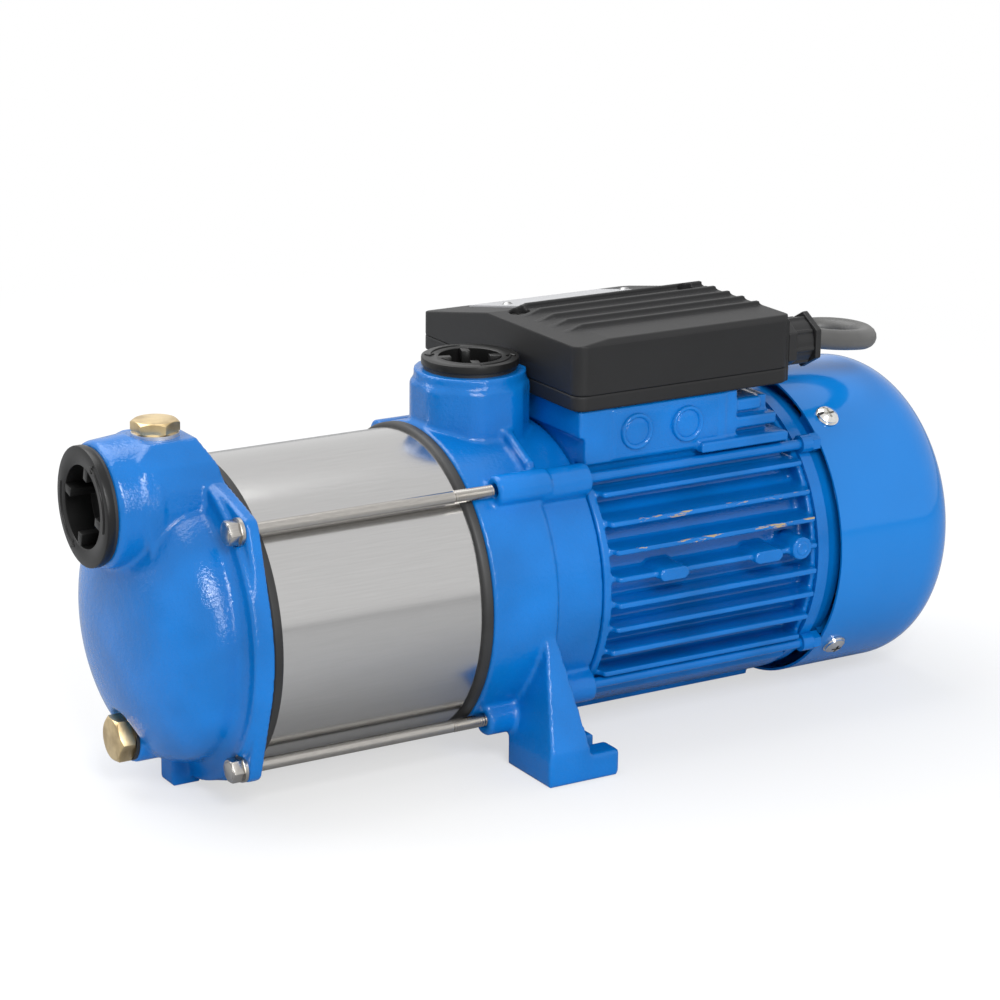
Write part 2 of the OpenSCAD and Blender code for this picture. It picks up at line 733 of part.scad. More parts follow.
module fan_cover_screws() color("lightgray") for (a = screw_angles) {
  on_shaft(screw_x) rotate([0, 0, a + 90]) rotate([0, 90, 0]) difference() {
    union() {
      translate([0, 0, 66]) cylinder(h = cover_r - 65.9, r = 2);
      translate([0, 0, cover_r]) cylinder(h = 0.8, r = 5.8);
      translate([0, 0, cover_r + 0.7]) cylinder(h = 1.2, r = 5.1);
      translate([0, 0, cover_r + 1.9]) cylinder(h = 1.4, r1 = 5.1, r2 = 2.8);
    }
    translate([-2.8, -0.6, cover_r + 1.6]) cube([5.6, 1.2, 5]);
    translate([-0.6, -2.8, cover_r + 1.6]) cube([1.2, 5.6, 5]);
  }
}

module support_pad() color("black") {
  translate([x_lantern + 83, -5, 0]) cube([15, 16, pad_h]);
}

// terminal box
module box_outline(inset) {
  rounded(box_x0 + inset, box_x1 - inset, box_y0 + inset, box_y1 - inset, 6 - inset);
}

module terminal_box_base() color("dimgray") difference() {
  union() {
    translate([0, 0, box_z0]) linear_extrude(height = box_base_h) box_outline(0);
    translate([box_x1 - box_t, gland_y - 11.5, box_z0]) cube([box_t + 0.4, 23, lid_h + 5]);
  }
  difference() {
    translate([0, 0, box_z0 + box_t]) linear_extrude(height = 60) intersection() {
      box_outline(box_t);
      translate([0, box_y0]) square([box_x1 - box_t, box_w]);
    }
    for (x = lid_screw_xs) {
      translate([x, ridge_y, box_z0]) cylinder(h = 14, r = 5);
    }
  }
  for (x = lid_screw_xs) {
    translate([x, ridge_y, box_z0 + 2]) cylinder(h = 40, r = 2.2);
  }
  translate([box_x0 + 45, -5, box_z0 - 5]) cylinder(h = 20, r = 10);
  bar_x(box_x1 - 10, box_x1 + 10, 8.1, gland_y, gland_z - shaft_height);
}

module lid_profile(t) {
  polygon(points = [
    [box_y0 + t, box_zj - 1], [box_y0 + t, box_top - lid_bevel - t], [box_y0 + lid_bevel + t, box_top - t],
    [ridge_y, box_top - t], [box_y1 - t, box_top - far_drop - t], [box_y1 - t, box_zj - 1]
  ]);
}

module lid_end_profile(t) {
  polygon(points = [
    [box_x0 - 1, box_zj - 2], [box_x0 - 1, box_top - lid_slope_drop - t], [box_x0, box_top - lid_slope_drop - t],
    [box_x0 + lid_slope_l, box_top - t], [box_x1 + 1, box_top - t], [box_x1 + 1, box_zj - 2]
  ]);
}

module lid_shell(t) {
  intersection() {
    along_y(box_y0 - 1, box_y1 + 1) lid_end_profile(t);
    along_x(box_x0 - 1, box_x1 + 1) lid_profile(t);
    translate([0, 0, box_zj - t]) linear_extrude(height = 60) box_outline(t);
  }
}

module terminal_box_lid() color("dimgray") difference() {
  union() {
    difference() {
      lid_shell(0);
      lid_shell(box_t);
    }
    for (k = [0:4]) {
      along_y(20 - 12 * k - 1.3, 20 - 12 * k + 1.3) polygon(points = [
        [box_x0 + 4, box_top - 2.3], [box_x0 + lid_slope_l, box_top + rib_h], [box_x1 - 1.5, box_top + rib_h],
        [box_x1 - 1.1, box_top - 1.2]
      ]);
    }
    for (x = lid_screw_xs) {
      translate([x, ridge_y, box_z0 + 14.3]) cylinder(h = box_top - box_z0 - 17, r = 7);
    }
  }
  for (x = lid_screw_xs) {
    translate([x, ridge_y, box_top - 5]) cylinder(h = 20, r = 4.8);
    translate([x, ridge_y, box_z0]) cylinder(h = 60, r = 2.2);
  }
  translate([box_x1 - box_t - 0.3, gland_y - 11.8, box_zj - 2]) cube([9, 23.6, lid_h - 0.2]);
}

module lid_screws() color("dimgray") for (x = lid_screw_xs) {
  translate([x, ridge_y, box_top - 5]) difference() {
    union() {
      cylinder(h = 2.6, r = 4.2);
      translate([0, 0, -18]) cylinder(h = 18.5, r = 2.1);
    }
    translate([-2.6, -0.5, 1.4]) cube([5.2, 1, 4]);
    translate([-0.5, -2.6, 1.4]) cube([1, 5.2, 4]);
  }
}

far_angle = -atan(far_drop / (box_y1 - ridge_y));

module on_far_slope() {
  translate([0, ridge_y, box_top]) rotate([far_angle, 0, 0]) children();
}

module label_plate() color("lightgray") on_far_slope() difference() {
  translate([box_x0 + 20, 11, 0]) cube([75, 50, 0.8]);
  for (x = rivet_xs) {
    translate([x, 36, -1]) cylinder(h = 4, r = 1.5);
  }
}

module label_rivets() color("silver") on_far_slope() {
  for (x = rivet_xs) {
    translate([x, 36, 0]) cylinder(h = 0.8, r = 1.5);
    translate([x, 36, 0.8]) cylinder(h = 1, r1 = 2.6, r2 = 1.6);
  }
}

module terminal_block() color("saddlebrown") difference() {
  translate([block_x, -8, box_z0 + box_t]) cube([40, 22, 12]);
  for (k = [0:2]) {
    translate([block_x + 7 + 13 * k, -9, box_z0 + box_t + 5]) cube([8, 24, 10]);
  }
}

module terminal_studs() color("goldenrod") for (k = [0:2], y = [-2.5, 8.5]) {
  translate([block_x + 11 + 13 * k, y, box_z0 + box_t + 5]) {
    cylinder(h = 6, r = 1.9);
    cylinder(h = 2.4, r = 3.4, $fn = 6);
  }
}

module run_capacitor() color("white") {
  cap_z = box_z0 + box_t + 11.5 - shaft_height;
  bar_x(box_x0 + 12, box_x0 + 84, 11.5, -36, cap_z);
  bar_x(box_x0 + 10, box_x0 + 12, 10, -36, cap_z);
}

// cable gland and cord
gland_h = gland_z - shaft_height;

module cable_gland() color("dimgray") difference() {
  union() {
    bar_x(box_x1 - 5, box_x1 + 1, 8.05, gland_y, gland_h);
    bar_x(box_x1 + 0.4, box_x1 + gland_l, 10.8, gland_y, gland_h);
    hex_x(box_x1 + 0.4, box_x1 + 5, 23, gland_y, gland_h);
    for (a = [0:45:135]) {
      translate([box_x1 + 3, gland_y, gland_z]) rotate([a + 11, 0, 0])
        translate([0, -11.8, -0.8]) cube([gland_l - 3.5, 23.6, 1.6]);
    }
  }
  bar_x(box_x1 - 10, box_x1 + 30, cord_d / 2 + 0.3, gland_y, gland_h);
}

module gland_nut() color("dimgray") difference() {
  union() {
    hex_x(box_x1 + gland_l, box_x1 + gland_l + 3, 23.4, gland_y, gland_h);
    translate([box_x1 + gland_l + 3, gland_y, gland_z]) rotate([0, 90, 0]) cylinder(h = 0.7, r1 = 11, r2 = 9.6);
  }
  bar_x(box_x1 + gland_l - 2, box_x1 + gland_l + 10, cord_d / 2 + 0.3, gland_y, gland_h);
}

// swept tube through hand picked points
guide = [0.61, 0.5, 0.62];
function unit(v) = v / norm(v);
function tangent(p, i) = unit(p[min(i + 1, len(p) - 1)] - p[max(i - 1, 0)]);
function side_dir(t) = unit(guide - (guide * t) * t);
function ring_pts(c, t, r, n) = let (u = side_dir(t), v = cross(t, u)) [
  for (k = [0:n - 1]) c + r * (cos(360 * k / n) * u + sin(360 * k / n) * v)
];

module tube(p, r, n) {
  m = len(p);
  pts = [for (i = [0:m - 1]) each ring_pts(p[i], tangent(p, i), r, n)];
  walls = [for (i = [0:m - 2], k = [0:n - 1]) each [
    [i * n + k, (i + 1) * n + k, i * n + (k + 1) % n],
    [i * n + (k + 1) % n, (i + 1) * n + k, (i + 1) * n + (k + 1) % n]
  ]];
  first = [for (k = [0:n - 1]) k];
  last = [for (k = [n - 1:-1:0]) (m - 1) * n + k];
  polyhedron(points = pts, faces = concat([first], walls, [last]));
}

cord_r = cord_d / 2;
cord_x0 = box_x1 + gland_l + 3.7;
coil_c = [94, 175];
coil_r = 52;
coil_h = 41.2;

// points relative to the gland mouth, then points near the floor
cord_air = [
  [0, 0, 0], [5, 0, -0.6], [10, 0, -1.6], [17, 0, -2.8], [25, 0.4, -3.9], [35.5, 3, -5.2],
  [43, 10.5, -6], [46, 21, -6.4], [43, 31.5, -6.7], [35.5, 39, -7], [25, 42, -7.3], [17, 43, -7.6],
  [4, 46.5, -8.6], [-5.5, 56, -10.6], [-9, 69, -14], [-9, 84, -23], [-9, 98, -34], [-8, 111, -49],
  [-7, 121, -67]
];
cord_down = [
  [141, 86, 92], [142, 88, 70], [143, 89.5, 50], [144, 92.5, 32], [145, 100, 18], [146, 111, 9],
  [146, 125, 5.6], [146, 141, 5.2], [146, 158, 5.2], [146, 175, 5.2]
];
cord_tail_pts = [
  [94, 227, 36.1], [83, 227, 35.6], [72, 227, 33.4], [60, 227, 29], [49, 227, 23.8],
  [40, 227, 20], [34, 227, 18.4], [29.3, 227, 18.2]
];
plug_x = 29;
plug_y = 227;
plug_z = 18.2;

module power_cord() color("black") {
  tube(concat([for (p = cord_air) p + [cord_x0, gland_y, gland_z]], cord_down), cord_r, 10);
}

module cord_coil() color("black") {
  translate([coil_c[0], coil_c[1], 0]) rotate_extrude() translate([coil_r - cord_r, 0.2])
    square([cord_d, coil_h]);
}

module cord_tail() color("black") tube(cord_tail_pts, cord_r, 10);

module cord_plug() color("black") {
  translate([plug_x, plug_y, plug_z]) rotate([0, -90, 0]) {
    cylinder(h = 22, r1 = 5.6, r2 = 8.5);
    translate([0, 0, 22]) cylinder(h = 12, r1 = 11, r2 = 17.8);
    translate([0, 0, 34]) cylinder(h = 20, r = 17.8);
  }
}

module plug_pins() color("silver") for (y = [-9.5, 9.5]) {
  translate([plug_x - 54, plug_y + y, plug_z]) rotate([0, -90, 0]) {
    cylinder(h = 17.5, r = 2.4);
    translate([0, 0, 17.5]) cylinder(h = 1.5, r1 = 2.4, r2 = 1.2);
  }
}

// parts list

suction_cover();
suction_port_cap();
suction_cap_seal();
filling_plug();
filling_plug_washer();
drain_plug();
drain_plug_washer();
front_gasket();
casing_sleeve();
rear_gasket();
tie_rods();
tie_rod_washers();
stage_cups();
stage_diffusers();
impellers();
impeller_key();
impeller_nut();
pump_shaft();
seal_spacer();
seal_rotary_head();
seal_carbon_ring();
seal_seat();
pump_body();
delivery_port_cap();
delivery_cap_seal();
front_bearing_outer();
front_bearing_inner();
front_bearing_balls();
rear_bearing_outer();
rear_bearing_inner();
rear_bearing_balls();
motor_housing();
stator_core();
stator_winding();
rotor_core();
rotor_cage();
motor_end_shield();
motor_through_bolts();
cooling_fan();
fan_clip();
fan_cover();
fan_cover_screws();
support_pad();
terminal_box_base();
terminal_box_lid();
lid_screws();
label_plate();
label_rivets();
terminal_block();
terminal_studs();
run_capacitor();
cable_gland();
gland_nut();
power_cord();
cord_coil();
cord_tail();
cord_plug();
plug_pins();
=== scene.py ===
"""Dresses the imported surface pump: castings, caps, plugs, rods, cord, finishes and stage."""

import json
import math

import bpy
from mathutils import Matrix, Vector

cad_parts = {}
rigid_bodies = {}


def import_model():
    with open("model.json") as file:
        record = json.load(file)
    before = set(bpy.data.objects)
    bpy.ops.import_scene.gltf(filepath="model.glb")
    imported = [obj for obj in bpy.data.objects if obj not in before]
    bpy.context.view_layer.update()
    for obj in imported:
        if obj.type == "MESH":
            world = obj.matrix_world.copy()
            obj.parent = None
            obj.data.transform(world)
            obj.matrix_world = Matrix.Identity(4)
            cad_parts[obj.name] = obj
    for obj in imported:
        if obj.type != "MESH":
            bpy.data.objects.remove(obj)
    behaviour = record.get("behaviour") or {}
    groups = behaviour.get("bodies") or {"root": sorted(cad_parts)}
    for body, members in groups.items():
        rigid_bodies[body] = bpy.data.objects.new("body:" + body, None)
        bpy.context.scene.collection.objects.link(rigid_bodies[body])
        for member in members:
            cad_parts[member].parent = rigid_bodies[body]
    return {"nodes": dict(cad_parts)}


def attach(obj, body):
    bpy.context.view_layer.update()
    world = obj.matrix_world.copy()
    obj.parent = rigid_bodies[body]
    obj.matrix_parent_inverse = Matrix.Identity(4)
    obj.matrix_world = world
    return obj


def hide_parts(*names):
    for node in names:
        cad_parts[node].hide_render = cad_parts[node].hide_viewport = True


bl_info = {
    "name": "Multistage Surface Pump",
    "version": (1, 0, 0),
    "blender": (4, 5, 0),
    "location": "View3D > Sidebar > Pump",
    "description": "Models the visible pieces, finishes and stage of a multistage surface pump",
    "category": "Object",
}

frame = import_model()
NODES = frame["nodes"]
MM = 0.001

# Stations of the solids in millimetres, as the part's source has them.
SHAFT_Z = 77.0
CASING_R = 71.0
CASING_WALL = 1.5
X_FLANGE = -155.0
X_CASING_FRONT = -150.0
X_CASING_REAR = -50.0
X_RIM = -45.0
X_LANTERN = 15.0
X_COVER = 145.6
X_COVER_END = 221.0
PORT_X = -205.0
PORT_Z = 135.0
OUT_X = -15.5
OUT_Z = 174.0
FILL_X, FILL_Z = -175.0, 163.0
DRAIN_X, DRAIN_Z = -190.5, 25.5
ROD_OFFSET = 54.2
WASHER = 1.5

# Marks on both sides of the motor casting: along from the lantern, out from the middle, up from
# the shaft.
PANEL = (44.5, 52.1, 71.5)
PANEL_SIZE = (57, 1.6, 21)
KNOCK_OUTS = ((27, 52.8, 71.5), (55, 52.8, 71.5))
LUG_EYE = (106, 77.5, 9.5)

# Chipped paint, in metres: the heights it lies between and its least distance from the shaft.
CHIPS_FROM, CHIPS_TO = 0.093, 0.112
CHIPS_BEYOND = 0.0743
CHIPS_ABOVE = 0.575

# Route of the power cord: from the gland's mouth through the air, down to the floor, round the
# coil, and over its rim to the plug. The first list counts from the mouth.
CORD_MOUTH = (147.2, -40.0, 177.1)
CORD_AIR = (
    (0, 0, 0), (5, 0, -0.6), (10, 0, -1.6), (17, 0, -2.8), (25, 0.4, -3.9), (35.5, 3, -5.2),
    (43, 10.5, -6), (46, 21, -6.4), (43, 31.5, -6.7), (35.5, 39, -7), (25, 42, -7.3),
    (17, 43, -7.6), (4, 46.5, -8.6), (-5.5, 56, -10.6), (-9, 69, -14), (-9, 84, -23),
    (-9, 98, -34), (-8, 111, -49), (-7, 121, -67),
)
CORD_DOWN = (
    (141, 86, 92), (142, 88, 70), (143, 89.5, 50), (144, 92.5, 32), (145, 100, 18),
    (146, 111, 9), (146, 125, 5.6), (146, 141, 5.2), (146, 158, 5.2), (146, 175, 5.2),
)
COIL_CENTRE = (94.0, 175.0)
COIL_R = 52.0
COIL_TURNS = 3.25
COIL_POINTS = 16
COIL_LOW = 5.2
COIL_LAYER = 10.3
COIL_CLIMB = 285
CORD_TAIL = (
    (83, 227, 35.6), (72, 227, 33.4), (60, 227, 29), (49, 227, 23.8), (40, 227, 20),
    (34, 227, 18.4), (29.3, 227, 18.2),
)
PLUG = (29.0, 227.0, 18.2)

# The camera: place in metres, then azimuth, elevation and roll in degrees, and the lens in mm.
CAMERA_PLACE = (-0.74479, -1.22932, 0.53650)
CAMERA_TURN = (-31.26, 16.61, 0.63)
CAMERA_LENS = 115.2

# The lamps: name, place, target and size in metres, and power in watts.
LAMPS = (
    ("Key", (-0.6, -1.75, 1.5), (0.0, 0.0, 0.06), (0.6, 0.6), 22.0),
    ("Strip", (-0.1, -2.0, 0.85), (-0.15, 0.0, 0.1), (0.22, 1.2), 11.0),
    ("Top", (-0.3, 0.75, 1.7), (0.0, 0.0, 0.08), (1.6, 1.6), 27.0),
    ("Rim", (-1.5, 1.1, 0.8), (0.0, 0.0, 0.1), (0.4, 0.9), 7.0),
)

ALONG_X = (0, math.pi / 2, 0)
AGAINST_X = (0, -math.pi / 2, 0)


def colour(r, g, b):
    """Linear colour of an sRGB colour given in 0 to 255."""
    parts = []
    for value in (r, g, b):
        v = value / 255
        parts.append(v / 12.92 if v <= 0.04045 else ((v + 0.055) / 1.055) ** 2.4)
    return (*parts, 1.0)


# Modelling with operators.


def deselect():
    if bpy.context.object and bpy.context.object.mode != "OBJECT":
        bpy.ops.object.mode_set(mode="OBJECT")
    bpy.ops.object.select_all(action="DESELECT")


def pick(obj):
    deselect()
    obj.select_set(True)
    bpy.context.view_layer.objects.active = obj


def settle(obj):
    """Puts the object's place into its mesh."""
    pick(obj)
    bpy.ops.object.transform_apply(location=True, rotation=True, scale=True)
    return obj


def modify(obj, kind, **settings):
    """Adds one modifier and applies it."""
    pick(obj)
    bpy.ops.object.modifier_add(type=kind)
    modifier = obj.modifiers[-1]
    for key, value in settings.items():
        setattr(modifier, key, value)
    bpy.ops.object.modifier_apply(modifier=modifier.name)
    return obj


def place(obj, centre, turn):
    """Turns an object, sets it at a centre in millimetres and settles it there."""
    obj.rotation_euler = turn
    obj.location = Vector(centre) * MM
    return settle(obj)


def smooth(obj, angle):
    pick(obj)
    bpy.ops.object.shade_smooth_by_angle(angle=math.radians(angle))
    return obj


def tidy(obj, distance=1e-6):
    """Merges doubles and turns the faces outwards."""
    pick(obj)
    bpy.ops.object.mode_set(mode="EDIT")
    bpy.ops.mesh.select_all(action="SELECT")
    bpy.ops.mesh.remove_doubles(threshold=distance)
    bpy.ops.mesh.normals_make_consistent(inside=False)
    bpy.ops.object.mode_set(mode="OBJECT")
    return obj


def lathe(name, profile, centre=(0, 0, 0), turn=(0, 0, 0), steps=96, close=False):
    """Spins radius and height pairs, in millimetres, about an axis through the centre."""
    points = list(profile) + ([profile[0]] if close else [])
    deselect()
    bpy.ops.mesh.primitive_plane_add(size=0.001, location=(0, 0, 0))
    obj = bpy.context.object
    obj.name = name
    bpy.ops.object.mode_set(mode="EDIT")
    bpy.ops.mesh.select_mode(type="VERT")
    bpy.ops.mesh.select_all(action="SELECT")
    bpy.ops.mesh.merge(type="CENTER")
    bpy.ops.transform.translate(value=(points[0][0] * MM, 0, points[0][1] * MM))
    for (r0, z0), (r1, z1) in zip(points, points[1:]):
        step = ((r1 - r0) * MM, 0, (z1 - z0) * MM)
        bpy.ops.mesh.extrude_region_move(TRANSFORM_OT_translate={"value": step})
    bpy.ops.mesh.select_all(action="SELECT")
    bpy.ops.mesh.spin(steps=steps, angle=2 * math.pi, center=(0, 0, 0), axis=(0, 0, 1))
    bpy.ops.object.mode_set(mode="OBJECT")
    return place(tidy(obj), centre, turn)


def block(name, size, centre, turn=(0, 0, 0), bevel=0.0, segments=2):
    """A box with bevelled edges, sized and placed in millimetres."""
    deselect()
    bpy.ops.mesh.primitive_cube_add(size=1, location=Vector(centre) * MM, rotation=turn)
    obj = bpy.context.object
    obj.name = name
    obj.scale = Vector(size) * MM
    settle(obj)
    if bevel:
        modify(obj, "BEVEL", width=bevel * MM, segments=segments, limit_method="ANGLE")
    return obj


def drum(name, radius, depth, centre, turn=(0, 0, 0), sides=48):
    deselect()
    bpy.ops.mesh.primitive_cylinder_add(
        vertices=sides, radius=radius * MM, depth=depth * MM, location=Vector(centre) * MM,
        rotation=turn,
    )
    obj = bpy.context.object
    obj.name = name
    return settle(obj)


def strand(name, points, radius, resolution):
    """A round curve through points, left as a curve, all in metres."""
    deselect()
    bpy.ops.curve.primitive_nurbs_path_add(location=(0, 0, 0))
    curve = bpy.context.object
    curve.name = name
    curve.data.splines.clear()
    spline = curve.data.splines.new("POLY")
    spline.points.add(len(points) - 1)
    for target, p in zip(spline.points, points):
        target.co = (*p, 1.0)
    curve.data.dimensions = "3D"
    curve.data.bevel_depth = radius
    curve.data.bevel_resolution = resolution
    curve.data.use_fill_caps = True
    return curve


def bead(name, points, radius):
    """A thin round bead along points given in millimetres."""
    strand(name, [Vector(p) * MM for p in points], radius * MM, 2)
    bpy.ops.object.convert(target="MESH")
    return tidy(bpy.context.object)


def around(radius, degrees, z=0.0):
    """The point at a radius and an angle round the Z axis."""
    a = math.radians(degrees)
    return Vector((radius * math.cos(a), radius * math.sin(a), z))


def combine(obj, other, operation):
    """Adds, cuts or keeps the common part of another solid, which is then removed."""
    modify(obj, "BOOLEAN", operation=operation, object=other, solver="EXACT")
    bpy.data.objects.remove(other, do_unlink=True)
    return obj


def hexagon_head(name, corner, height, middle, cone, steps, bevel):
    """A hexagon with its corners turned off by a cone, all in millimetres."""
    head = drum(name, corner, height, (0, 0, middle), sides=6)
    combine(head, lathe("cone", cone, steps=steps), "INTERSECT")
    return modify(head, "BEVEL", width=bevel * MM, segments=2, limit_method="ANGLE",
                  angle_limit=math.radians(28))


def join(name, pieces):
    deselect()
    for piece in pieces:
        piece.select_set(True)
    bpy.context.view_layer.objects.active = pieces[0]
    bpy.ops.object.join()
    joined = bpy.context.object
    joined.name = name
    return joined


def copy_of(source, name):
    pick(source)
    bpy.ops.object.duplicate()
    twin = bpy.context.object
    for key in list(twin.keys()):
        del twin[key]
    bpy.ops.object.parent_clear(type="CLEAR")
    twin.name = name
    twin.data.materials.clear()
    return twin


def softened(name, node, voxel, rounds, faces):
    """A copy of a solid with the rounded edges and fillets of a casting or a moulding."""
    piece = tidy(copy_of(NODES[node], name), 1e-7)
    modify(piece, "REMESH", mode="VOXEL", voxel_size=voxel * MM, adaptivity=0.0)
    modify(piece, "SMOOTH", factor=0.5, iterations=rounds)
    if len(piece.data.polygons) > faces:
        modify(piece, "TRIANGULATE")
        modify(piece, "DECIMATE", ratio=2 * faces / len(piece.data.polygons))
    pick(piece)
    bpy.ops.object.shade_smooth()
    return piece


def finish_piece(piece, body, nodes, material):
    """Dresses a finished piece, lets it ride on its body and stand for its solids."""
    piece.data.materials.clear()
    piece.data.materials.append(material)
    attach(piece, body)
    if nodes:
        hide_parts(*nodes)
    return piece


# Shader maths and finishes.


class Value:
    """A socket whose arithmetic adds Math nodes."""

    def __init__(self, finish, socket):
        self.finish = finish
        self.socket = socket

    def _math(self, operation, *values):
        return self.finish.node("ShaderNodeMath", {"operation": operation}, dict(enumerate(values)))

    def __add__(self, other):
        return self._math("ADD", self, other)

    __radd__ = __add__

    def __sub__(self, other):
        return self._math("SUBTRACT", self, other)

    def __rsub__(self, other):
        return self._math("SUBTRACT", other, self)

    def __mul__(self, other):
        return self._math("MULTIPLY", self, other)

    __rmul__ = __mul__

    def above(self, edge):
        return self._math("GREATER_THAN", self, edge)

    def clamped(self):
        settings = {"operation": "ADD", "use_clamp": True}
        return self.finish.node("ShaderNodeMath", settings, {0: self, 1: 0.0})


class Finish:
    """One procedural material with a Principled shader."""

    def __init__(self, name, base, rough=0.5, metal=0.0, coat=0.0, coat_rough=0.05, sheen=0.5):
        self.material = bpy.data.materials.new(name)
        self.material.use_nodes = True
        self.material.diffuse_color = base
        self.tree = self.material.node_tree
        self.shader = self.tree.nodes["Principled BSDF"]
        self.put("Base Color", base)
        self.put("Roughness", rough)
        self.put("Metallic", metal)
        self.put("Coat Weight", coat)
        self.put("Coat Roughness", coat_rough)
        self.put("Specular IOR Level", sheen)
        self.place = self.node("ShaderNodeTexCoord", output="Object")

    def node(self, kind, settings=None, inputs=None, output=0):
        made = self.tree.nodes.new(kind)
        for key, value in (settings or {}).items():
            if key == "stops":
                ramp = made.color_ramp.elements
                while len(ramp) < len(value):
                    ramp.new(0.5)
                for element, (position, tone) in zip(ramp, value):
                    element.position = position
                    element.color = tone if hasattr(tone, "__len__") else (tone, tone, tone, 1)
            else:
                setattr(made, key, value)
        for key, value in (inputs or {}).items():
            self.feed(made.inputs[key], value)
        return Value(self, made.outputs[output])

    def feed(self, socket, value):
        if isinstance(value, Value):
            self.tree.links.new(value.socket, socket)
        else:
            socket.default_value = value

    def put(self, name, value):
        self.feed(self.shader.inputs[name], value)

    def scaled(self, x, y, z):
        """Object coordinates stretched along the three directions."""
        return self.node("ShaderNodeMapping", {"vector_type": "POINT"},
                         {"Vector": self.place, "Scale": (x, y, z)})

    def from_shaft(self):
        """Distance of the point from the shaft line."""
        across = self.node(
            "ShaderNodeMapping", {"vector_type": "POINT"},
            {"Vector": self.place, "Location": (0, 0, -SHAFT_Z * MM), "Scale": (0, 1, 1)},
        )
        return self.length(across)

    def length(self, vector):
        return self.node("ShaderNodeVectorMath", {"operation": "LENGTH"}, {0: vector},
                         output="Value")

    def noise(self, scale, detail, rough=0.5, vector=None, distortion=0.0):
        return self.node(
            "ShaderNodeTexNoise", {},
            {"Vector": vector or self.place, "Scale": scale, "Detail": detail,
             "Roughness": rough, "Distortion": distortion},
        )

    def cells(self, scale):
        return self.node("ShaderNodeTexVoronoi", {"feature": "F1"},
                         {"Vector": self.place, "Scale": scale})

    def ramp(self, value, *stops):
        return self.node("ShaderNodeValToRGB", {"stops": stops}, {"Fac": value})

    def blend(self, factor, first, second):
        """A colour between two, by index because the node's inputs share their names."""
        mixed = self.node("ShaderNodeMix", {"data_type": "RGBA"}, output=2)
        node = mixed.socket.node
        self.feed(node.inputs[0], factor)
        self.feed(node.inputs[6], first)
        self.feed(node.inputs[7], second)
        return mixed

    def bump(self, height, distance, strength):
        return self.node("ShaderNodeBump", {},
                         {"Height": height, "Distance": distance, "Strength": strength})


def grey(value):
    return (value, value, value, 1.0)


def opaque(tone, share=1.0):
    """A colour darkened to a share of itself, with full alpha."""
    return (*(share * c for c in tone[:3]), 1.0)


def paler(tone, times, plus):
    return (*(min(1.0, c * times + plus) for c in tone[:3]), 1.0)


def cast_enamel(name, base, dark, depth=0.0006, chipped=False):
    """Glossy enamel over a sand casting: grain, sags, pits, and chips on the tips of two fins."""
    finish = Finish(name, base, rough=0.12, sheen=0.42)
    broad = finish.noise(26.0, 2.0)
    sags = finish.noise(170.0, 2.0, distortion=0.5)
    peel = finish.noise(560.0, 2.0, 0.55)
    grain = finish.noise(1300.0, 3.0, 0.62)
    pits = finish.ramp(finish.cells(260.0), (0.0, 0.0), (0.13, 1.0))
    tone = finish.blend(finish.ramp(broad, (0.3, 0.0), (0.72, 0.75)), base, dark)
    tone = finish.blend(finish.ramp(grain, (0.2, 0.3), (0.5, 0.0)), tone, dark)
    if chipped:
        spot = finish.noise(320.0, 5.0, 0.7, finish.scaled(0.16, 1.0, 1.0)).above(CHIPS_ABOVE)
        height = finish.node("ShaderNodeSeparateXYZ", {}, {0: finish.place}, output=2)
        fins = height.above(CHIPS_FROM) * (CHIPS_TO - height).above(0.0)
        bare = spot * fins * finish.from_shaft().above(CHIPS_BEYOND)
        tone = finish.blend(bare, tone, (0.40, 0.31, 0.18, 1))
    finish.put("Base Color", tone)
    finish.put("Roughness", 0.05 + 0.09 * finish.noise(90.0, 3.0) + 0.04 * grain)
    relief = 0.1 * sags + 0.4 * peel + 0.15 * grain + 0.09 * pits
    finish.put("Normal", finish.bump(relief, depth, 0.8))
    return finish.material


def smooth_enamel(name, base, dark):
    """The same enamel on pressed sheet: flatter, with a faint orange peel."""
    finish = Finish(name, base, rough=0.1, sheen=0.5)
    peel = finish.noise(420.0, 1.5)
    waves = finish.noise(34.0, 1.0, vector=finish.scaled(0.35, 1.0, 1.0))
    tone = finish.blend(finish.ramp(finish.noise(14.0, 2.0), (0.3, 0.0), (0.75, 0.7)), base, dark)
    finish.put("Base Color", tone)
    finish.put("Roughness", 0.07 + 0.08 * finish.noise(60.0, 2.0))
    finish.put("Normal", finish.bump(0.18 * peel + 0.82 * waves, 0.00022, 0.6))
    return finish.material


def drawn_steel(name, base, rough, stretch, lines=900.0, depth=0.00002, contrast=0.14):
    """Bright steel with fine lines from drawing, rolling or grinding along one direction."""
    finish = Finish(name, base, rough=rough, metal=1.0)
    vector = finish.scaled(*stretch)
    hair = finish.noise(lines, 4.0, 0.6, vector)
    cloud = finish.noise(22.0, 3.0)
    darker = opaque(base, 1 - contrast)
    finish.put("Base Color", finish.blend(finish.ramp(hair, (0.3, 0.0), (0.72, 1.0)), darker, base))
    finish.put("Roughness", rough * (0.8 + 2.0 * contrast * hair + 0.2 * cloud))
    finish.put("Normal", finish.bump(hair, depth, 0.5))
    return finish.material


def machined_brass(name, base, dark):
    """Brass with fine tool marks and a little tarnish."""
    finish = Finish(name, base, rough=0.3, metal=1.0)
    hair = finish.noise(260.0, 4.0, 0.6, finish.scaled(1.0, 1.0, 6.0))
    stain = finish.noise(95.0, 4.0)
    worn = finish.ramp(stain, (0.35, 0.0), (0.75, 0.8))
    finish.put("Base Color", finish.blend(worn, base, dark))
    finish.put("Roughness", 0.22 + 0.12 * hair + 0.1 * stain)
    finish.put("Normal", finish.bump(0.6 * hair + 0.4 * stain, 0.00004, 0.6))
    return finish.material


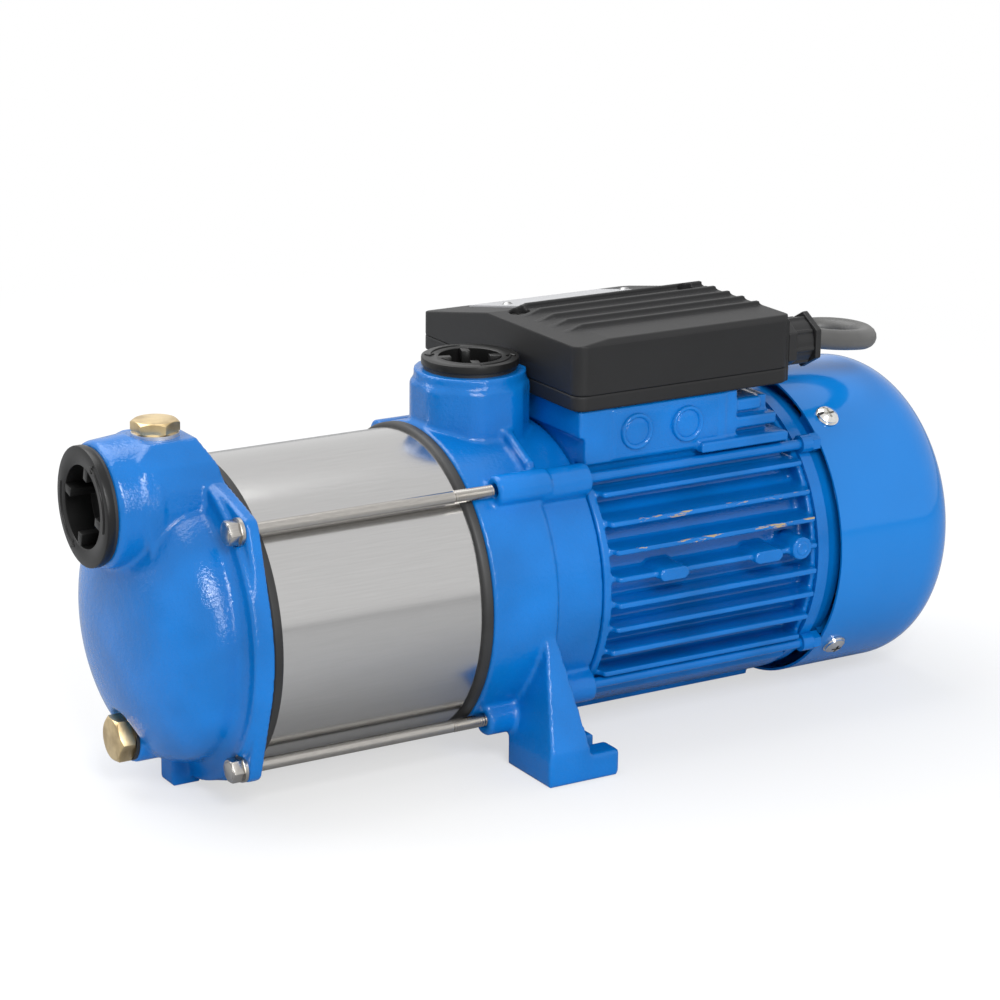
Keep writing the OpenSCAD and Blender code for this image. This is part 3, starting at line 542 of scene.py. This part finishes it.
def moulded_plastic(name, base, rough, grain=1100.0, depth=0.00005, marks=0.5, sheen=0.35):
    """Moulded plastic with a fine spark-eroded grain and faint scuffs."""
    finish = Finish(name, base, rough=rough, sheen=sheen)
    fine = finish.noise(grain, 2.0, 0.7)
    cloud = finish.noise(30.0, 3.0)
    streaks = finish.noise(160.0, 6.0, 0.7, finish.scaled(1.0, 6.0, 1.0))
    scuff = finish.ramp(streaks, (0.62, 0.0), (0.8, marks))
    worn = paler(base, 1.3, 0.006)
    finish.put("Base Color", finish.blend(scuff, finish.blend(cloud * 0.5, base, worn), worn))
    finish.put("Roughness", rough - 0.05 + 0.1 * cloud + 0.06 * fine)
    finish.put("Normal", finish.bump(fine, depth, 0.6))
    return finish.material


def soft_rubber(name, base, rough):
    """Matt rubber with a film of dust."""
    finish = Finish(name, base, rough=rough)
    dust = finish.noise(420.0, 5.0, 0.65)
    cloud = finish.noise(48.0, 3.0)
    dusty = paler(base, 1.5, 0.01)
    finish.put("Base Color", finish.blend(finish.ramp(cloud, (0.35, 0.0), (0.8, 0.8)), base, dusty))
    finish.put("Roughness", rough - 0.08 + 0.14 * dust)
    finish.put("Normal", finish.bump(dust, 0.00006, 0.5))
    return finish.material


def stacked_sheets(name, base, rough):
    """Electrical steel sheets stacked along the shaft."""
    finish = Finish(name, base, rough=rough, metal=1.0)
    bands = finish.node(
        "ShaderNodeTexWave", {"wave_type": "BANDS", "bands_direction": "X", "wave_profile": "SAW"},
        {"Vector": finish.place, "Scale": 320.0, "Distortion": 0.3},
    )
    stain = finish.noise(70.0, 4.0)
    finish.put("Base Color", finish.blend(stain, base, opaque(base, 0.6)))
    finish.put("Roughness", rough - 0.08 + 0.18 * stain)
    finish.put("Normal", finish.bump(bands, 0.0001, 0.6))
    return finish.material


def wound_copper(name, base, dark):
    """Varnished copper wires side by side, tied at the ends."""
    finish = Finish(name, base, rough=0.35, coat=0.5, coat_rough=0.2)
    wires = finish.node(
        "ShaderNodeTexWave", {"wave_type": "RINGS", "rings_direction": "X", "wave_profile": "SIN"},
        {"Vector": finish.place, "Scale": 420.0, "Distortion": 1.2, "Detail": 2.0},
    )
    tone = finish.blend(finish.ramp(wires, (0.2, 0.0), (0.8, 1.0)), dark, base)
    finish.put("Base Color", tone)
    finish.put("Roughness", 0.3 + 0.2 * finish.noise(120.0, 3.0))
    finish.put("Normal", finish.bump(wires, 0.0003, 0.9))
    return finish.material


FINISHES = {}


def make_finishes(look):
    """All the finishes of the pump, made from the colours in the panel."""
    blue, deep = opaque(look.enamel), opaque(look.enamel, 0.62)
    plastic, steel, brass = opaque(look.plastic), opaque(look.steel), opaque(look.brass)
    along, even = (0.15, 1.0, 1.0), (1.0, 1.0, 1.0)
    FINISHES.update(
        enamel=cast_enamel("Cast enamel", blue, deep),
        motor_enamel=cast_enamel("Motor enamel", blue, deep, 0.0004, chipped=True),
        cover_enamel=smooth_enamel("Sheet enamel", opaque(look.cover), opaque(look.cover, 0.8)),
        sleeve=drawn_steel("Drawn sleeve steel", (0.58, 0.575, 0.57, 1), 0.19,
                           (1.5, 40.0, 40.0), 30.0, 0.000001, 0.05),
        rod=drawn_steel("Plated rod steel", steel, 0.24, along, 1400.0),
        bolt=drawn_steel("Plated bolt steel", steel, 0.28, even, 700.0, 0.00003),
        screw=drawn_steel("Bright screw", (0.86, 0.85, 0.82, 1), 0.16, even, 500.0, 0.00002),
        brass=machined_brass("Machined brass", brass, (0.30, 0.20, 0.09, 1)),
        box=moulded_plastic("Terminal box plastic", plastic, 0.46, 1500.0, 0.00008, 0.2, 0.3),
        cap=moulded_plastic("Port cap plastic", grey(0.007), 0.3, 900.0, 0.00003, 0.15, 0.28),
        gland=moulded_plastic("Gland nylon", (0.014, 0.014, 0.0145, 1), 0.38, 800.0, 0.00004, 0.3),
        fan=moulded_plastic("Fan plastic", grey(0.03), 0.45),
        ivory=moulded_plastic("Impeller plastic", (0.66, 0.62, 0.52, 1), 0.42, 700.0, 0.00004),
        thermoset=moulded_plastic("Terminal block", (0.17, 0.07, 0.03, 1), 0.45),
        capacitor=moulded_plastic("Capacitor can", (0.52, 0.52, 0.50, 1), 0.35),
        ceramic=moulded_plastic("Seal ceramic", (0.80, 0.78, 0.72, 1), 0.18, 1200.0, 0.00001),
        carbon=moulded_plastic("Seal carbon", (0.02, 0.02, 0.021, 1), 0.28, 1400.0, 0.00002),
        gasket=soft_rubber("Gasket rubber", grey(0.012), 0.5),
        rubber=soft_rubber("Pad rubber", grey(0.014), 0.66),
        cord=soft_rubber("Cord rubber", (0.075, 0.074, 0.072, 1), 0.45),
        plug=soft_rubber("Plug rubber", grey(0.018), 0.5),
        tie=soft_rubber("Tie strap", grey(0.25), 0.8),
        plate=moulded_plastic("Label plate lacquer", (0.42, 0.42, 0.43, 1), 0.42, 1300.0,
                              0.00001, 0.1),
        rivet=drawn_steel("Rivet aluminium", grey(0.4), 0.4, even, 600.0),
        shaft=drawn_steel("Ground shaft", grey(0.66), 0.2, (8.0, 1.0, 1.0), 300.0),
        pressed=drawn_steel("Pressed stage steel", grey(0.62), 0.32, even, 500.0),
        bearing=drawn_steel("Bearing steel", grey(0.72), 0.12, (5.0, 1.0, 1.0), 300.0),
        spring=drawn_steel("Spring steel", (0.25, 0.25, 0.26, 1), 0.35, even, 500.0),
        laminated=stacked_sheets("Laminated steel", (0.30, 0.30, 0.31, 1), 0.42),
        aluminium=drawn_steel("Cast aluminium", (0.70, 0.70, 0.71, 1), 0.45, even, 300.0, 0.00006),
        winding=wound_copper("Stator winding", (0.50, 0.16, 0.05, 1), (0.16, 0.05, 0.02, 1)),
        black_screw=drawn_steel("Blackened screw", grey(0.09), 0.4, even, 500.0),
        pin=drawn_steel("Plated pin", (0.78, 0.77, 0.74, 1), 0.18, (0.2, 1.0, 1.0), 900.0),
    )


# Finish of every solid that stays as the frame has it.
KEPT = {
    "suction_cap_seal": "gasket", "delivery_cap_seal": "gasket",
    "filling_plug_washer": "aluminium", "drain_plug_washer": "gasket",
    "tie_rod_washers": "bolt", "stage_cups": "pressed", "stage_diffusers": "ivory",
    "impellers": "ivory", "impeller_key": "bolt", "impeller_nut": "shaft",
    "pump_shaft": "shaft", "seal_spacer": "shaft", "seal_rotary_head": "pressed",
    "seal_carbon_ring": "carbon", "seal_seat": "ceramic", "front_bearing_outer": "bearing",
    "front_bearing_inner": "bearing", "front_bearing_balls": "bearing",
    "rear_bearing_outer": "bearing", "rear_bearing_inner": "bearing",
    "rear_bearing_balls": "bearing", "stator_core": "laminated", "stator_winding": "winding",
    "rotor_core": "laminated", "rotor_cage": "aluminium",
    "motor_through_bolts": "motor_enamel", "cooling_fan": "fan", "fan_clip": "spring",
    "fan_cover_screws": "screw", "lid_screws": "black_screw", "label_plate": "plate",
    "label_rivets": "rivet", "terminal_block": "thermoset", "terminal_studs": "brass",
    "run_capacitor": "capacitor", "motor_end_shield": "motor_enamel", "plug_pins": "pin",
}


# Sizes and colours in the panel.


class PumpLook(bpy.types.PropertyGroup):
    """Colours of the pump's main finishes."""

    enamel: bpy.props.FloatVectorProperty(
        name="Casting enamel", description="Colour of the enamel on the castings", subtype="COLOR",
        size=3, min=0.0, max=1.0, default=colour(5, 114, 197)[:3],
    )
    cover: bpy.props.FloatVectorProperty(
        name="Sheet enamel", description="Colour of the enamel on the fan cover", subtype="COLOR",
        size=3, min=0.0, max=1.0, default=colour(9, 118, 199)[:3],
    )
    plastic: bpy.props.FloatVectorProperty(
        name="Black plastic", description="Colour of the terminal box", subtype="COLOR",
        size=3, min=0.0, max=1.0, default=(0.011, 0.011, 0.0115),
    )
    steel: bpy.props.FloatVectorProperty(
        name="Plated steel", description="Colour of the rods and bolts", subtype="COLOR",
        size=3, min=0.0, max=1.0, default=(0.50, 0.48, 0.45),
    )
    brass: bpy.props.FloatVectorProperty(
        name="Brass", description="Colour of the filling and drain plugs", subtype="COLOR",
        size=3, min=0.0, max=1.0, default=(0.88, 0.69, 0.38),
    )


class PumpSizes(bpy.types.PropertyGroup):
    """Sizes of the modelled detail, in millimetres unless a unit is given."""

    cord_diameter: bpy.props.FloatProperty(
        name="Cord diameter", description="Outside diameter of the rubber cord", default=0.010,
        min=0.008, max=0.0104, unit="LENGTH",
    )
    voxel: bpy.props.FloatProperty(
        name="Casting detail", default=1.05, min=0.8, max=3.0,
        description="Size of the smallest detail that a casting keeps, in millimetres",
    )
    softening: bpy.props.IntProperty(
        name="Casting softness", default=3, min=1, max=12,
        description="Rounds of smoothing on the castings' edges",
    )
    thread_pitch: bpy.props.FloatProperty(
        name="Rod thread pitch", default=1.25, min=0.7, max=1.5,
        description="Distance between thread crests on the tie rods, in millimetres",
    )


def look():
    return bpy.context.scene.pump_look


def sizes():
    return bpy.context.scene.pump_sizes


# Camera, cord and stage.


def camera_at(location, azimuth, elevation, roll, lens):
    """A camera that looks along an azimuth and elevation, rolled about its line of sight."""
    a, e, r = (math.radians(v) for v in (azimuth, elevation, roll))
    back = Vector((math.sin(a) * math.cos(e), -math.cos(a) * math.cos(e), math.sin(e)))
    side = (-back).cross(Vector((0, 0, 1))).normalized()
    over = side.cross(-back).normalized()
    right = side * math.cos(r) + over * math.sin(r)
    up = -side * math.sin(r) + over * math.cos(r)
    bpy.ops.object.camera_add(location=location)
    camera = bpy.context.object
    camera.name = "Camera"
    turn = Matrix((right, up, back)).transposed()
    camera.rotation_euler = turn.to_euler()
    camera.data.lens = lens
    camera.data.sensor_width = 36
    camera.data.clip_end = 50
    bpy.context.scene.camera = camera
    return camera


class PUMP_OT_camera(bpy.types.Operator):
    """Sets the camera where the photograph was taken from."""

    bl_idname = "pump.camera"
    bl_label = "Camera"

    def execute(self, context):
        deselect()
        camera_at(CAMERA_PLACE, *CAMERA_TURN, CAMERA_LENS)
        return {"FINISHED"}


def coil_height(angle):
    """Height of the cord's middle in the coil after so many degrees of turn."""
    turn, part = divmod(angle, 360.0)
    height = COIL_LOW + COIL_LAYER * turn
    if turn < int(COIL_TURNS) and part > COIL_CLIMB:
        u = (part - COIL_CLIMB) / (360 - COIL_CLIMB)
        height += COIL_LAYER * u * u * (3 - 2 * u)
    return height


def cord_route():
    """Points of the cord's middle from the gland to the plug, in metres."""
    route = [tuple(a + b for a, b in zip(CORD_MOUTH, p)) for p in CORD_AIR] + list(CORD_DOWN)
    x, y = COIL_CENTRE
    for i in range(1, int(COIL_TURNS * COIL_POINTS) + 1):
        angle = i * 360.0 / COIL_POINTS
        a = math.radians(angle)
        route.append((x + COIL_R * math.cos(a), y + COIL_R * math.sin(a), coil_height(angle)))
    return [Vector(p) * MM for p in route + list(CORD_TAIL)]


def curve_length(points):
    return sum((b - a).length for a, b in zip(points, points[1:]))


def smooth_points(points, steps=6):
    """Points of a smooth curve through the route, close enough together to measure it."""
    made = []
    for i in range(len(points) - 1):
        p0 = points[max(i - 1, 0)]
        p1, p2 = points[i], points[i + 1]
        p3 = points[min(i + 2, len(points) - 1)]
        for k in range(steps):
            t = k / steps
            made.append(
                0.5 * (2 * p1 + (p2 - p0) * t + (2 * p0 - 5 * p1 + 4 * p2 - p3) * t * t
                       + (3 * p1 - p0 - 3 * p2 + p3) * t ** 3)
            )
    return made + [points[-1]]


class PUMP_OT_cord(bpy.types.Operator):
    """Lays the power cord from the gland to the coil behind the pump, with its tie and plug."""

    bl_idname = "pump.cord"
    bl_label = "Power cord"

    def execute(self, context):
        points = smooth_points(cord_route())
        thickness = sizes().cord_diameter
        cord = strand("power_cord_run", points, thickness / 2, 6)
        stands_for = ["power_cord", "cord_coil", "cord_tail"]
        finish_piece(cord, "pump", stands_for, FINISHES["cord"])
        plug = self.plug()
        tie = self.tie()
        curve_length(points)
        return {"FINISHED"}

    def plug(self):
        """Round moulded plug with a ribbed sleeve and finger grooves."""
        profile = [(0.0, 0.0), (5.2, 0.0), (5.8, 0.6)]
        for k in range(6):
            z = 1.6 + 3.2 * k
            r = 5.9 + 0.42 * k
            profile += [(r, z), (r + 0.5, z + 0.5), (r + 0.6, z + 1.7), (r - 0.2, z + 2.1),
                        (r - 0.2, z + 2.7)]
        profile += [(10.4, 22.2), (11.6, 22.9), (13.4, 25.0), (15.6, 29.0), (17.2, 32.4),
                    (17.7, 34.6), (17.8, 36.0), (17.8, 52.6), (17.4, 53.5), (16.4, 54.0),
                    (15.0, 54.0), (14.6, 53.2), (0.0, 53.2)]
        plug = lathe("mains_plug", profile, PLUG, AGAINST_X, 96)
        x, y, z = PLUG
        for side in (-1, 1):
            for k in range(4):
                centre = (x - 38.5 - 4 * k, y + side * 18.9, z)
                combine(plug, block("groove", (1.6, 3.0, 14.0), centre, bevel=0.5), "DIFFERENCE")
        smooth(plug, 40)
        return finish_piece(plug, "pump", ["cord_plug"], FINISHES["plug"])

    def tie(self):
        """Strap round the three layers that the coil has beside the plug."""
        x, y = COIL_CENTRE[0] - COIL_R, COIL_CENTRE[1]
        middle = (x, y, 16.1)
        band = block("coil_tie", (13.2, 12.0, 31.8), middle, bevel=4.0, segments=5)
        room = block("tie_room", (11.0, 20.0, 29.6), middle, bevel=3.6, segments=5)
        combine(band, room, "DIFFERENCE")
        buckle = block("tie_tab", (1.6, 12.4, 9.0), (x - 6.6, y, 20.0), bevel=0.5)
        band = join("coil_tie", [band, buckle])
        smooth(band, 40)
        return finish_piece(band, "pump", [], FINISHES["tie"])


class PUMP_OT_stage(bpy.types.Operator):
    """Sets the pale floor, the white backdrop and the soft studio lamps."""

    bl_idname = "pump.stage"
    bl_label = "Stage"

    def execute(self, context):
        self.floor()
        self.world()
        for lamp in LAMPS:
            self.lamp(*lamp)
        context.scene.view_settings.view_transform = "Standard"
        return {"FINISHED"}

    def lamp(self, name, spot, target, size, power):
        bpy.ops.object.light_add(type="AREA", location=spot)
        lamp = bpy.context.object
        lamp.name = name
        towards = Vector(target) - Vector(spot)
        lamp.rotation_euler = towards.to_track_quat("-Z", "Y").to_euler()
        lamp.data.shape = "RECTANGLE"
        lamp.data.size, lamp.data.size_y = size
        lamp.data.energy = power

    def floor(self):
        """A pale floor that goes over into white, and is darker where metal mirrors it."""
        deselect()
        bpy.ops.mesh.primitive_circle_add(vertices=96, radius=9.0, fill_type="NGON",
                                          location=(0, 0, -0.0002))
        floor = bpy.context.object
        floor.name = "floor"
        settle(floor)
        finish = Finish("Floor paint", grey(0.82), rough=0.9)
        finish.put("Roughness", 0.85 + 0.1 * finish.noise(3.0, 2.0))
        mirrored = finish.node("ShaderNodeLightPath", output="Is Glossy Ray")
        finish.put("Base Color", finish.blend(mirrored, grey(0.82), grey(0.42)))
        rays = finish.node("ShaderNodeLightPath", output="Is Camera Ray")
        glow = finish.node("ShaderNodeEmission", {}, {"Color": grey(1.0), "Strength": 1.0})
        fade = (1.6 * finish.length(finish.place) - 0.55).clamped()
        mixed = finish.node("ShaderNodeMixShader", {}, {0: rays * (0.6 + 0.4 * fade)})
        shader = mixed.socket.node
        finish.tree.links.new(finish.shader.outputs[0], shader.inputs[1])
        finish.tree.links.new(glow.socket, shader.inputs[2])
        output = next(n for n in finish.tree.nodes if n.type == "OUTPUT_MATERIAL")
        finish.tree.links.new(mixed.socket, output.inputs["Surface"])
        floor.data.materials.append(finish.material)

    def world(self):
        """Soft light on the object, and white for the camera, behind glass and in metal."""
        world = bpy.data.worlds.new("Studio")
        bpy.context.scene.world = world
        world.use_nodes = True
        tree = world.node_tree
        tree.nodes.clear()
        rays = tree.nodes.new("ShaderNodeLightPath")
        last = self.sky(tree, (0.95, 0.975, 1.0, 1), 0.55)
        mirrored = self.sky(tree, grey(1.0), 0.88)
        seen = self.sky(tree, grey(1.0), 1.0)
        for ray, sky in (("Is Glossy Ray", mirrored), ("Is Transmission Ray", seen),
                         ("Is Camera Ray", seen)):
            mix = tree.nodes.new("ShaderNodeMixShader")
            tree.links.new(rays.outputs[ray], mix.inputs[0])
            tree.links.new(last.outputs[0], mix.inputs[1])
            tree.links.new(sky.outputs[0], mix.inputs[2])
            last = mix
        out = tree.nodes.new("ShaderNodeOutputWorld")
        tree.links.new(last.outputs[0], out.inputs[0])

    def sky(self, tree, tone, strength):
        sky = tree.nodes.new("ShaderNodeBackground")
        sky.inputs["Color"].default_value = tone
        sky.inputs["Strength"].default_value = strength
        return sky


# The pieces.


def mould(*pieces):
    """Softens solids into castings or mouldings: name, body, node, voxel, rounds, faces, finish."""
    for name, body, node, voxel, rounds, faces, finish in pieces:
        piece = softened(name, node, voxel, rounds, faces)
        finish_piece(piece, body, [node], FINISHES[finish])


class PUMP_OT_castings(bpy.types.Operator):
    """Turns the plain solids of the castings into enamelled castings with soft edges."""

    bl_idname = "pump.castings"
    bl_label = "Castings"

    def execute(self, context):
        voxel, rounds = sizes().voxel, sizes().softening
        mould(
            ("suction_cover_casting", "pump", "suction_cover", voxel, rounds, 95000, "enamel"),
            ("pump_body_casting", "pump", "pump_body", voxel + 0.05, rounds, 95000, "enamel"),
            ("motor_casting", "pump", "motor_housing", voxel - 0.15, 2, 95000, "motor_enamel"),
        )
        self.marks()
        return {"FINISHED"}

    def marks(self):
        """Panels with two knock-outs under the terminal box, and the eyes of the drilled lugs."""
        dish = [(0, -0.3), (0, 1.3), (5.6, 1.25), (6.3, 0.9), (6.9, 1.9), (7.8, 2.1),
                (8.3, 1.8), (8.6, 0.1), (8.7, -0.3)]
        eye = [(0, -0.3), (0, -0.1), (1.3, 0.0), (1.9, 0.45), (2.5, 0.55), (3.2, 0.3), (3.5, -0.3)]
        marks = []
        for side in (-1, 1):
            turn = (side * -math.pi / 2, 0, 0)
            marks.append(block("panel", PANEL_SIZE, self.on_motor(side, PANEL), bevel=0.7))
            for mark in KNOCK_OUTS:
                marks.append(lathe("knock_out", dish, self.on_motor(side, mark), turn, 64))
            marks.append(lathe("eye", eye, self.on_motor(side, LUG_EYE), turn, 40))
        marks = smooth(join("cast_marks", marks), 50)
        finish_piece(marks, "pump", [], FINISHES["motor_enamel"])

    def on_motor(self, side, mark):
        along, out, up = mark
        return (X_LANTERN + along, side * out, SHAFT_Z + up)


class PUMP_OT_box(bpy.types.Operator):
    """Moulds the terminal box, its lid, the cable gland and the pad with soft edges."""

    bl_idname = "pump.box"
    bl_label = "Terminal box"

    def execute(self, context):
        mould(
            ("terminal_box_tray", "pump", "terminal_box_base", 0.8, 2, 90000, "box"),
            ("terminal_box_cover", "terminal_lid", "terminal_box_lid", 0.6, 1, 95000, "box"),
            ("gland_body", "pump", "cable_gland", 0.45, 3, 40000, "gland"),
            ("gland_ring_nut", "pump", "gland_nut", 0.4, 4, 30000, "gland"),
            ("rubber_pad", "pump", "support_pad", 0.5, 6, 10000, "rubber"),
        )
        return {"FINISHED"}


class PUMP_OT_caps(bpy.types.Operator):
    """Moulds the two port caps and turns the two brass plugs."""

    bl_idname = "pump.caps"
    bl_label = "Caps and plugs"

    def execute(self, context):
        self.cap("suction_cap_moulding", (PORT_X - WASHER, 0, PORT_Z), AGAINST_X,
                 27.0, 20.85, 18.6, 76, "suction_cap", "suction_port_cap")
        self.cap("delivery_cap_moulding", (OUT_X, 0, OUT_Z + WASHER), (0, 0, 0),
                 22.6, 16.55, 14.6, 71, "delivery_cap", "delivery_port_cap")
        self.plug("filling_plug_brass", (FILL_X, 0, FILL_Z + WASHER), (0, 0, 0),
                  19.0, 5.4, 8.3, 9.5, "fill_plug", "filling_plug")
        self.plug("drain_plug_brass", (DRAIN_X - WASHER, 0, DRAIN_Z), AGAINST_X,
                  19.0, 7.4, 6.55, 8.5, "drain_plug_body", "drain_plug")
        return {"FINISHED"}

    def cap(self, name, centre, turn, flange, stem, recess, key_angle, body, node):
        """Round cap with a recessed middle, four keys for the spanner and two turning arrows."""
        crest, root, pitch = stem - 0.02, stem - 0.75, 2.1
        profile = [(0, -12.0), (stem - 1.0, -12.0)]
        z = -11.0
        while z < -2.4:
            profile += [(root, z), (crest, z + 0.8), (crest, z + 1.1), (root, z + 1.9)]
            z += pitch
        profile += [(stem - 0.8, -0.4), (stem - 0.4, 0), (flange - 0.7, 0), (flange - 0.15, 0.2),
                    (flange, 0.7), (flange, 3.3), (flange - 0.15, 3.8), (flange - 0.6, 4.0),
                    (recess + 0.3, 4.0), (recess, 3.75), (recess, -8.6), (recess - 0.6, -9.0),
                    (0, -9.0)]
        pieces = [lathe(name, profile, steps=128)]
        for k in range(4):
            angle = key_angle + 90 * k
            centre_of_key = around(recess - 2.5, angle, -2.4)
            pieces.append(
                block("key", (6.2, 4.0, 12.6), centre_of_key, (0, 0, math.radians(angle)), 0.35)
            )
        sweep = 80
        for start in (74, 254):
            arc = [around(0.5 * (recess + flange), start + k, 4.0) for k in range(0, sweep + 1, 4)]
            pieces.append(bead("arrow", arc, 0.6))
            barb = [arc[-1] + around(length, start + sweep + lean)
                    for length, lean in ((3.0, -50), (0.0, 0), (3.0, -130))]
            pieces.append(bead("barb", barb, 0.6))
        piece = place(join(name, pieces), centre, turn)
        smooth(piece, 40)
        finish_piece(piece, body, [node], FINISHES["cap"])

    def plug(self, name, centre, turn, flats, height, radius, stem, body, node):
        """Hexagon head with a turned chamfer, over a threaded stem."""
        corner = flats / math.sqrt(3)
        cone = [(0, -0.01), (flats / 2 + 0.1, -0.01), (corner + 0.2, 0.9),
                (corner + 0.2, height - 1.3), (flats / 2 - 0.2, height + 0.01),
                (0, height + 0.01)]
        head = hexagon_head(name, corner, height, height / 2, cone, 72, 0.25)
        pitch = 1.3
        thread = [(0, 1.0), (radius, 1.0), (radius, -0.8)]
        z = -0.8
        while z > 1.6 - stem:
            thread += [(radius - 0.7, z - pitch / 2), (radius - 0.02, z - pitch)]
            z -= pitch
        thread += [(radius - 1.0, -stem), (0, -stem)]
        piece = place(join(name, [head, lathe("stem", thread, steps=64)]), centre, turn)
        smooth(piece, 30)
        finish_piece(piece, body, [node], FINISHES["brass"])


class PUMP_OT_casing(bpy.types.Operator):
    """Turns the steel sleeve and its two gaskets, and makes the tie rods."""

    bl_idname = "pump.casing"
    bl_label = "Casing and tie rods"

    def execute(self, context):
        shaft = (0, 0, SHAFT_Z)
        r, inner = CASING_R, CASING_R - CASING_WALL
        sleeve = lathe(
            "casing_tube",
            [(inner, X_FLANGE + 2), (r - 0.3, X_FLANGE + 2), (r, X_FLANGE + 2.3),
             (r, X_CASING_FRONT + 0.5), (r, -100.0), (r, X_CASING_REAR - 0.5), (r, X_RIM - 2.3),
             (r - 0.3, X_RIM - 2), (inner, X_RIM - 2)],
            shaft, ALONG_X, 160, close=True,
        )
        smooth(sleeve, 30)
        finish_piece(sleeve, "pump", ["casing_sleeve"], FINISHES["sleeve"])
        for name, node, face, lip in (
            ("front_casing_gasket", "front_gasket", X_FLANGE, 1),
            ("rear_casing_gasket", "rear_gasket", X_RIM, -1),
        ):
            out = r + 2.2
            far = face + 5 * lip
            ring = lathe(
                name,
                [(r - 4.5, face), (out - 0.7, face), (out, face + 0.8 * lip),
                 (out, far - 1.6 * lip), (out - 0.5, far - 0.6 * lip), (out - 1.3, far), (r, far),
                 (r, face + 2 * lip), (inner, face + 2 * lip), (inner, far), (r - 4.5, far)],
                shaft, ALONG_X, 128, close=True,
            )
            smooth(ring, 40)
            finish_piece(ring, "pump", [node], FINISHES["gasket"])
        self.rods()
        return {"FINISHED"}

    def rods(self):
        """One rod with a hexagon head and a cut thread, copied to the four places."""
        pitch = sizes().thread_pitch
        crest, root = 2.96, 2.4
        profile = [(0, 0), (2.85, 0), (2.85, 107.0), (2.45, 107.4)]
        z = 107.5
        while z < 126.5:
            profile += [(root, z + 0.1 * pitch), (crest, z + 0.45 * pitch),
                        (crest, z + 0.55 * pitch), (root, z + 0.9 * pitch)]
            z += pitch
        profile += [(2.3, 127.8), (0, 128.0)]
        shank = lathe("rod_shank", profile, steps=40)
        cone = [(0, 0.01), (5.8, 0.01), (6.0, -0.4), (6.0, -4.6), (4.9, -5.41), (0, -5.41)]
        head = hexagon_head("rod_head", 5.77, 5.4, -2.7, cone, 64, 0.18)
        button = [(0, -4.8), (4.4, -4.8), (4.3, -5.5), (3.2, -5.8), (0, -5.95)]
        rod = join("rod", [shank, head, lathe("rod_button", button, steps=48)])
        rods = []
        for y in (-ROD_OFFSET, ROD_OFFSET):
            for z in (-ROD_OFFSET, ROD_OFFSET):
                twin = copy_of(rod, "rod_twin")
                rods.append(place(twin, (X_FLANGE - 8.0, y, SHAFT_Z + z), ALONG_X))
        bpy.data.objects.remove(rod, do_unlink=True)
        rods = join("threaded_tie_rods", rods)
        smooth(rods, 35)
        finish_piece(rods, "pump", ["tie_rods"], FINISHES["rod"])


class PUMP_OT_fan_cover(bpy.types.Operator):
    """Presses the fan cover with its round shoulder and the air holes in its end."""

    bl_idname = "pump.fan_cover"
    bl_label = "Fan cover"

    def execute(self, context):
        r, end, bend, wall = 76.0, X_COVER_END, 25.0, 1.2
        outer = [(r, X_COVER)]
        inner = [(r - wall, X_COVER)]
        for k in range(25):
            a = math.radians(90 * k / 24)
            for line, radius in ((outer, bend), (inner, bend - wall)):
                line.append(
                    (r - bend + radius * math.cos(a), end - bend + radius * math.sin(a))
                )
        profile = outer + [(0, end), (0, end - wall)] + inner[::-1]
        shaft = (0, 0, SHAFT_Z)
        cover = lathe("fan_cover_pressing", profile, shaft, ALONG_X, 144, close=True)
        holes = []
        for ring in (18, 27, 36, 45):
            count = ring // 9 * 3
            for k in range(count):
                a = 2 * math.pi * k / count
                centre = (end, ring * math.sin(a), SHAFT_Z - ring * math.cos(a))
                holes.append(drum("hole", 3.0, 10, centre, ALONG_X, 20))
        combine(cover, join("holes", holes), "DIFFERENCE")
        smooth(cover, 40)
        finish_piece(cover, "pump", ["fan_cover"], FINISHES["cover_enamel"])
        return {"FINISHED"}


class PUMP_OT_kept_solids(bpy.types.Operator):
    """Gives every solid that stays as it is its finish."""

    bl_idname = "pump.kept_solids"
    bl_label = "Kept solids"

    def execute(self, context):
        for node, finish in KEPT.items():
            solid = NODES[node]
            for i in range(len(solid.material_slots)):
                solid.material_slots[i].material = FINISHES[finish]
            if not solid.material_slots:
                solid.data.materials.append(FINISHES[finish])
        return {"FINISHED"}


class PUMP_PT_panel(bpy.types.Panel):
    """Lists the pump's sizes, colours and pieces."""

    bl_idname = "PUMP_PT_panel"
    bl_label = "Surface pump"
    bl_space_type = "VIEW_3D"
    bl_region_type = "UI"
    bl_category = "Pump"

    def draw(self, context):
        column = self.layout.column()
        for group in (context.scene.pump_look, context.scene.pump_sizes):
            for name in group.bl_rna.properties.keys():
                if name not in ("rna_type", "name"):
                    column.prop(group, name)
        for operator in ORDER:
            column.operator(operator)


OPERATORS = (
    PUMP_OT_camera, PUMP_OT_cord, PUMP_OT_stage, PUMP_OT_castings, PUMP_OT_box, PUMP_OT_caps,
    PUMP_OT_casing, PUMP_OT_fan_cover, PUMP_OT_kept_solids,
)
CLASSES = (PumpLook, PumpSizes, *OPERATORS, PUMP_PT_panel)
ORDER = tuple(operator.bl_idname for operator in OPERATORS)


def register():
    for cls in CLASSES:
        bpy.utils.register_class(cls)
    bpy.types.Scene.pump_look = bpy.props.PointerProperty(type=PumpLook)
    bpy.types.Scene.pump_sizes = bpy.props.PointerProperty(type=PumpSizes)


def unregister():
    del bpy.types.Scene.pump_sizes
    del bpy.types.Scene.pump_look
    for cls in reversed(CLASSES):
        bpy.utils.unregister_class(cls)


def main():
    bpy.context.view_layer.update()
    register()
    make_finishes(look())
    for operator in ORDER:
        group, name = operator.split(".")
        getattr(getattr(bpy.ops, group), name)()


if __name__ == "__main__":
    main()
